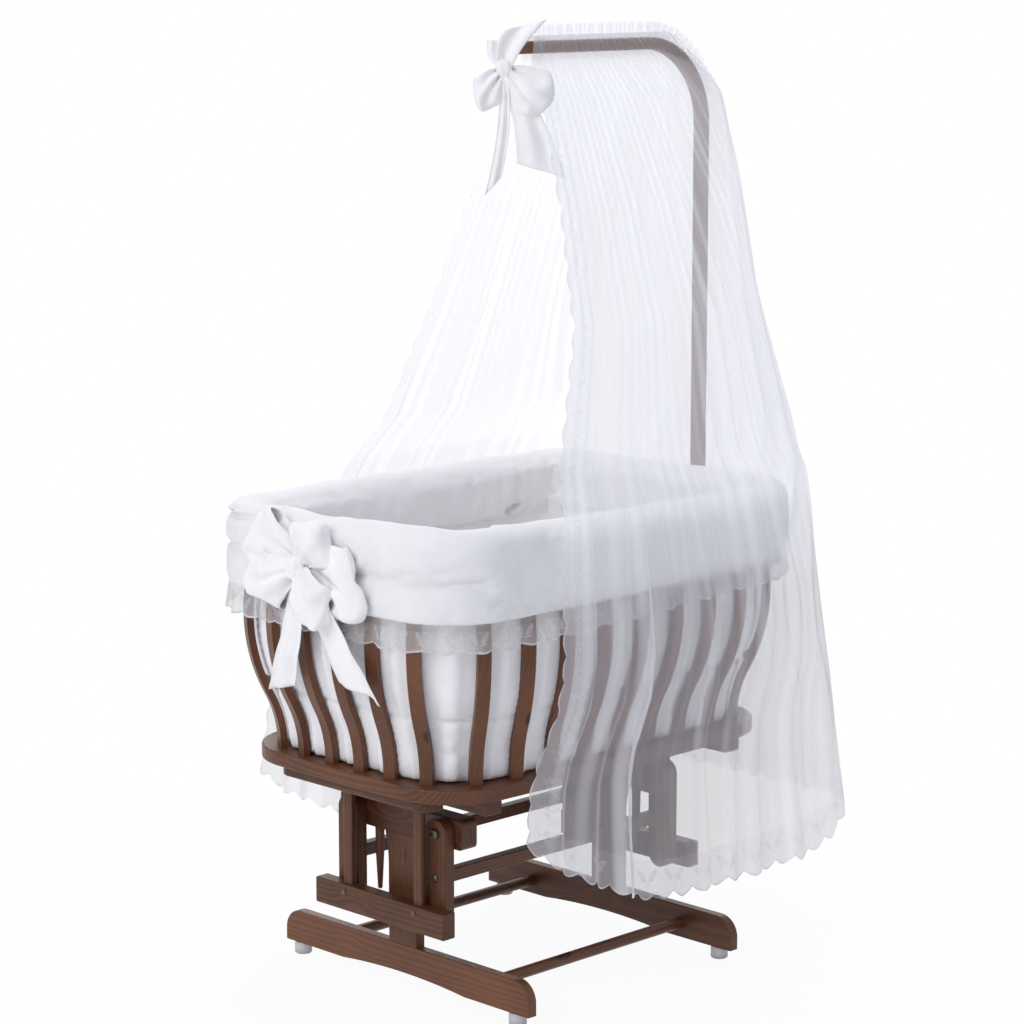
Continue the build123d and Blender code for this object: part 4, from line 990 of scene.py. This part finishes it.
def net_grid():
    """Columns that run from the casing to the hem. Fine gathers start at the casing and widen into long
    folds, which swing outwards only, so that they clear the basket."""
    share = np.linspace(0.0, 1.0, NET_COLUMNS)[None, :]
    fall = np.linspace(0.0, 1.0, NET_ROWS)[:, None]
    fall = 0.35 * fall**2 + 0.65 * fall
    share_grid = np.broadcast_to(share, (NET_ROWS, NET_COLUMNS))
    hem_x = net_place(share[0], np.full(NET_COLUMNS, 0.2))[0]
    hem = np.interp(hem_x, NET_HEM[:, 0], NET_HEM[:, 1])
    z = NET_TOP - fall * (NET_TOP - hem[None, :])
    x, y, out_x, out_y = net_place(share_grid, z)
    girth = np.linalg.norm(np.diff(np.stack([x, y]), axis=2), axis=0).sum(axis=1)[:, None]
    draw = np.random.default_rng(77)
    below_seam = smooth_step(NET_SEAM - z, 0.0, 0.05)
    gathers = np.zeros_like(z)
    for count in (47, 56, 63, 71):
        sway = 0.8 * np.sin(3.1 * fall + count)
        gathers += np.sin(2 * math.pi * count * share + draw.random() * 6.3 + sway)
    lift = (0.0012 + 0.0020 * below_seam * (1.0 - 0.7 * fall)) * (gathers / 4.0 + 0.6)
    for count in range(FOLDS):
        middle = (count + draw.uniform(0.1, 0.9)) / FOLDS + 0.012 * np.sin(2.2 * fall + count * 1.7)
        width = draw.uniform(0.010, 0.026) * (0.35 + 0.65 * fall)
        begins = draw.uniform(0.0, 0.4)
        off = np.abs(share - middle) * girth / width
        fold = draw.uniform(0.008, 0.021) * np.exp(-off**3)
        lift += fold * smooth_step(fall, begins, begins + 0.45) * below_seam
    lift = np.minimum(lift, FOLD_REACH) * smooth_step(NET_TOP - z, 0.0, 0.006)
    edge_fade = smooth_step(np.minimum(share, 1.0 - share), 0.0, 0.01)
    lift = lift * (0.5 + 0.5 * edge_fade)
    grid = np.stack([x + out_x * lift, y + out_y * lift, z], axis=-1)
    hem_run = np.concatenate([[0.0], np.cumsum(np.linalg.norm(np.diff(grid[-1], axis=0), axis=1))])
    scallop = np.abs(np.sin(math.pi * hem_run / SCALLOP))[None, :]
    grid[..., 2] -= smooth_step(fall, 0.975, 1.0) * (scallop - 0.6) * 0.012
    side_scallop = np.abs(np.sin(math.pi * (NET_TOP - z) / SCALLOP)) - 0.6
    at_front = np.clip(1.0 - np.minimum(share, 1.0 - share) * (NET_COLUMNS - 1) / 2.5, 0.0, 1.0) * below_seam
    grid[..., 0] -= at_front * side_scallop * 0.009
    steepness = np.abs(np.gradient(lift, axis=1)) / (girth / NET_COLUMNS)
    return grid, np.clip(steepness * 0.8, 0.0, 1.0) * below_seam


FRILL_COLUMNS, FRILL_ROWS, FRILL_HEIGHT = 420, 6, 0.0285
FRILL_START, FRILL_LEVEL, FRILL_TURN = 0.045, 0.286, 1.25
BEND_RADIUS, BEND_Z = 0.155, 1.4255


def header_grid():
    """The frill above the casing: a strip that stands on the arm and follows its bend, in small upright waves.
    The first half of its run is level, and the second half turns round the bend."""
    run = np.linspace(0.0, 1.0, FRILL_COLUMNS)[None, :]
    rise = np.linspace(0.0, 1.0, FRILL_ROWS)[:, None]
    level = np.minimum(run * 0.62, 0.31) / 0.31
    turn = np.clip((run * 0.62 - 0.31) / 0.31, 0.0, 1.0) * FRILL_TURN
    x = FRILL_START + level * FRILL_LEVEL + BEND_RADIUS * np.sin(turn)
    z = BEND_Z + BEND_RADIUS * np.cos(turn)
    height = FRILL_HEIGHT * rise * smooth_step(run, 0.0, 0.03)
    swing = np.sin(run * 2 * math.pi * 52) * 0.0065 + np.sin(run * 2 * math.pi * 23 + 1.0) * 0.003
    grid = np.zeros((FRILL_ROWS, FRILL_COLUMNS, 3))
    grid[..., 0] = x + np.sin(turn) * height
    grid[..., 1] = swing * (0.25 + 0.75 * rise)
    grid[..., 2] = z + np.cos(turn) * height
    return grid


net_points, net_steepness = net_grid()
header_points = header_grid()
net_spread = float(np.linalg.norm(np.diff(net_points, axis=1), axis=2).mean(axis=0).sum())
net_drop = float(np.linalg.norm(np.diff(net_points, axis=0), axis=2).mean(axis=1).sum())
canopy_tulle = sheer_cloth("canopy_tulle", (0.935, 0.94, 0.985), 0.47, (net_spread, net_drop), 0.032, 0.22)
canopy_net = cloth_mesh("sheer_canopy_net", [net_points, header_points], canopy_tulle)
steepness = np.concatenate([net_steepness.ravel(), np.zeros(FRILL_ROWS * FRILL_COLUMNS)])
canopy_net.data.attributes.new("steepness", "FLOAT", "POINT").data.foreach_set("value", steepness)
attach(canopy_net, "basket")
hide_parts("canopy_net")


# Pole bow: a narrower ribbon of the same cotton, tied round the arm's free end over the net.
SLANT = math.sqrt(0.5)
on_pole = bow_frame((-0.026, -0.010, 1.539), (SLANT, -SLANT, 0.0), (0.0, 0.0, 1.0), (-SLANT, -SLANT, 0.0))
pole_parts = [
    loop_grid(-0.72, 0.090, 0.043, 0.034, 0.002, 61, 0.008),
    loop_grid(math.pi + 0.98, 0.070, 0.034, 0.030, 0.002, 71, 0.006),
    tail_grid((0.036, 0.070), 0.012, 0.027, 0.016, 9, -0.30),
    tail_grid((-0.014, 0.044), 0.008, 0.012, 0.014, 11, 0.15),
    tail_grid((0.062, -0.170), 0.008, 0.034, 0.020, 7, 0.14),
    tail_grid((-0.018, -0.196), 0.006, 0.012, 0.018, 13, -0.08),
]
pole_ribbon, pole_knot = tie_bow(
    "pole_bow", on_pole, pole_parts, knot_grid(0.012, 0.014, 0.011, 2.0), 0.020, painted_light_bow_cotton, "basket")
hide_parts("pole_bow")
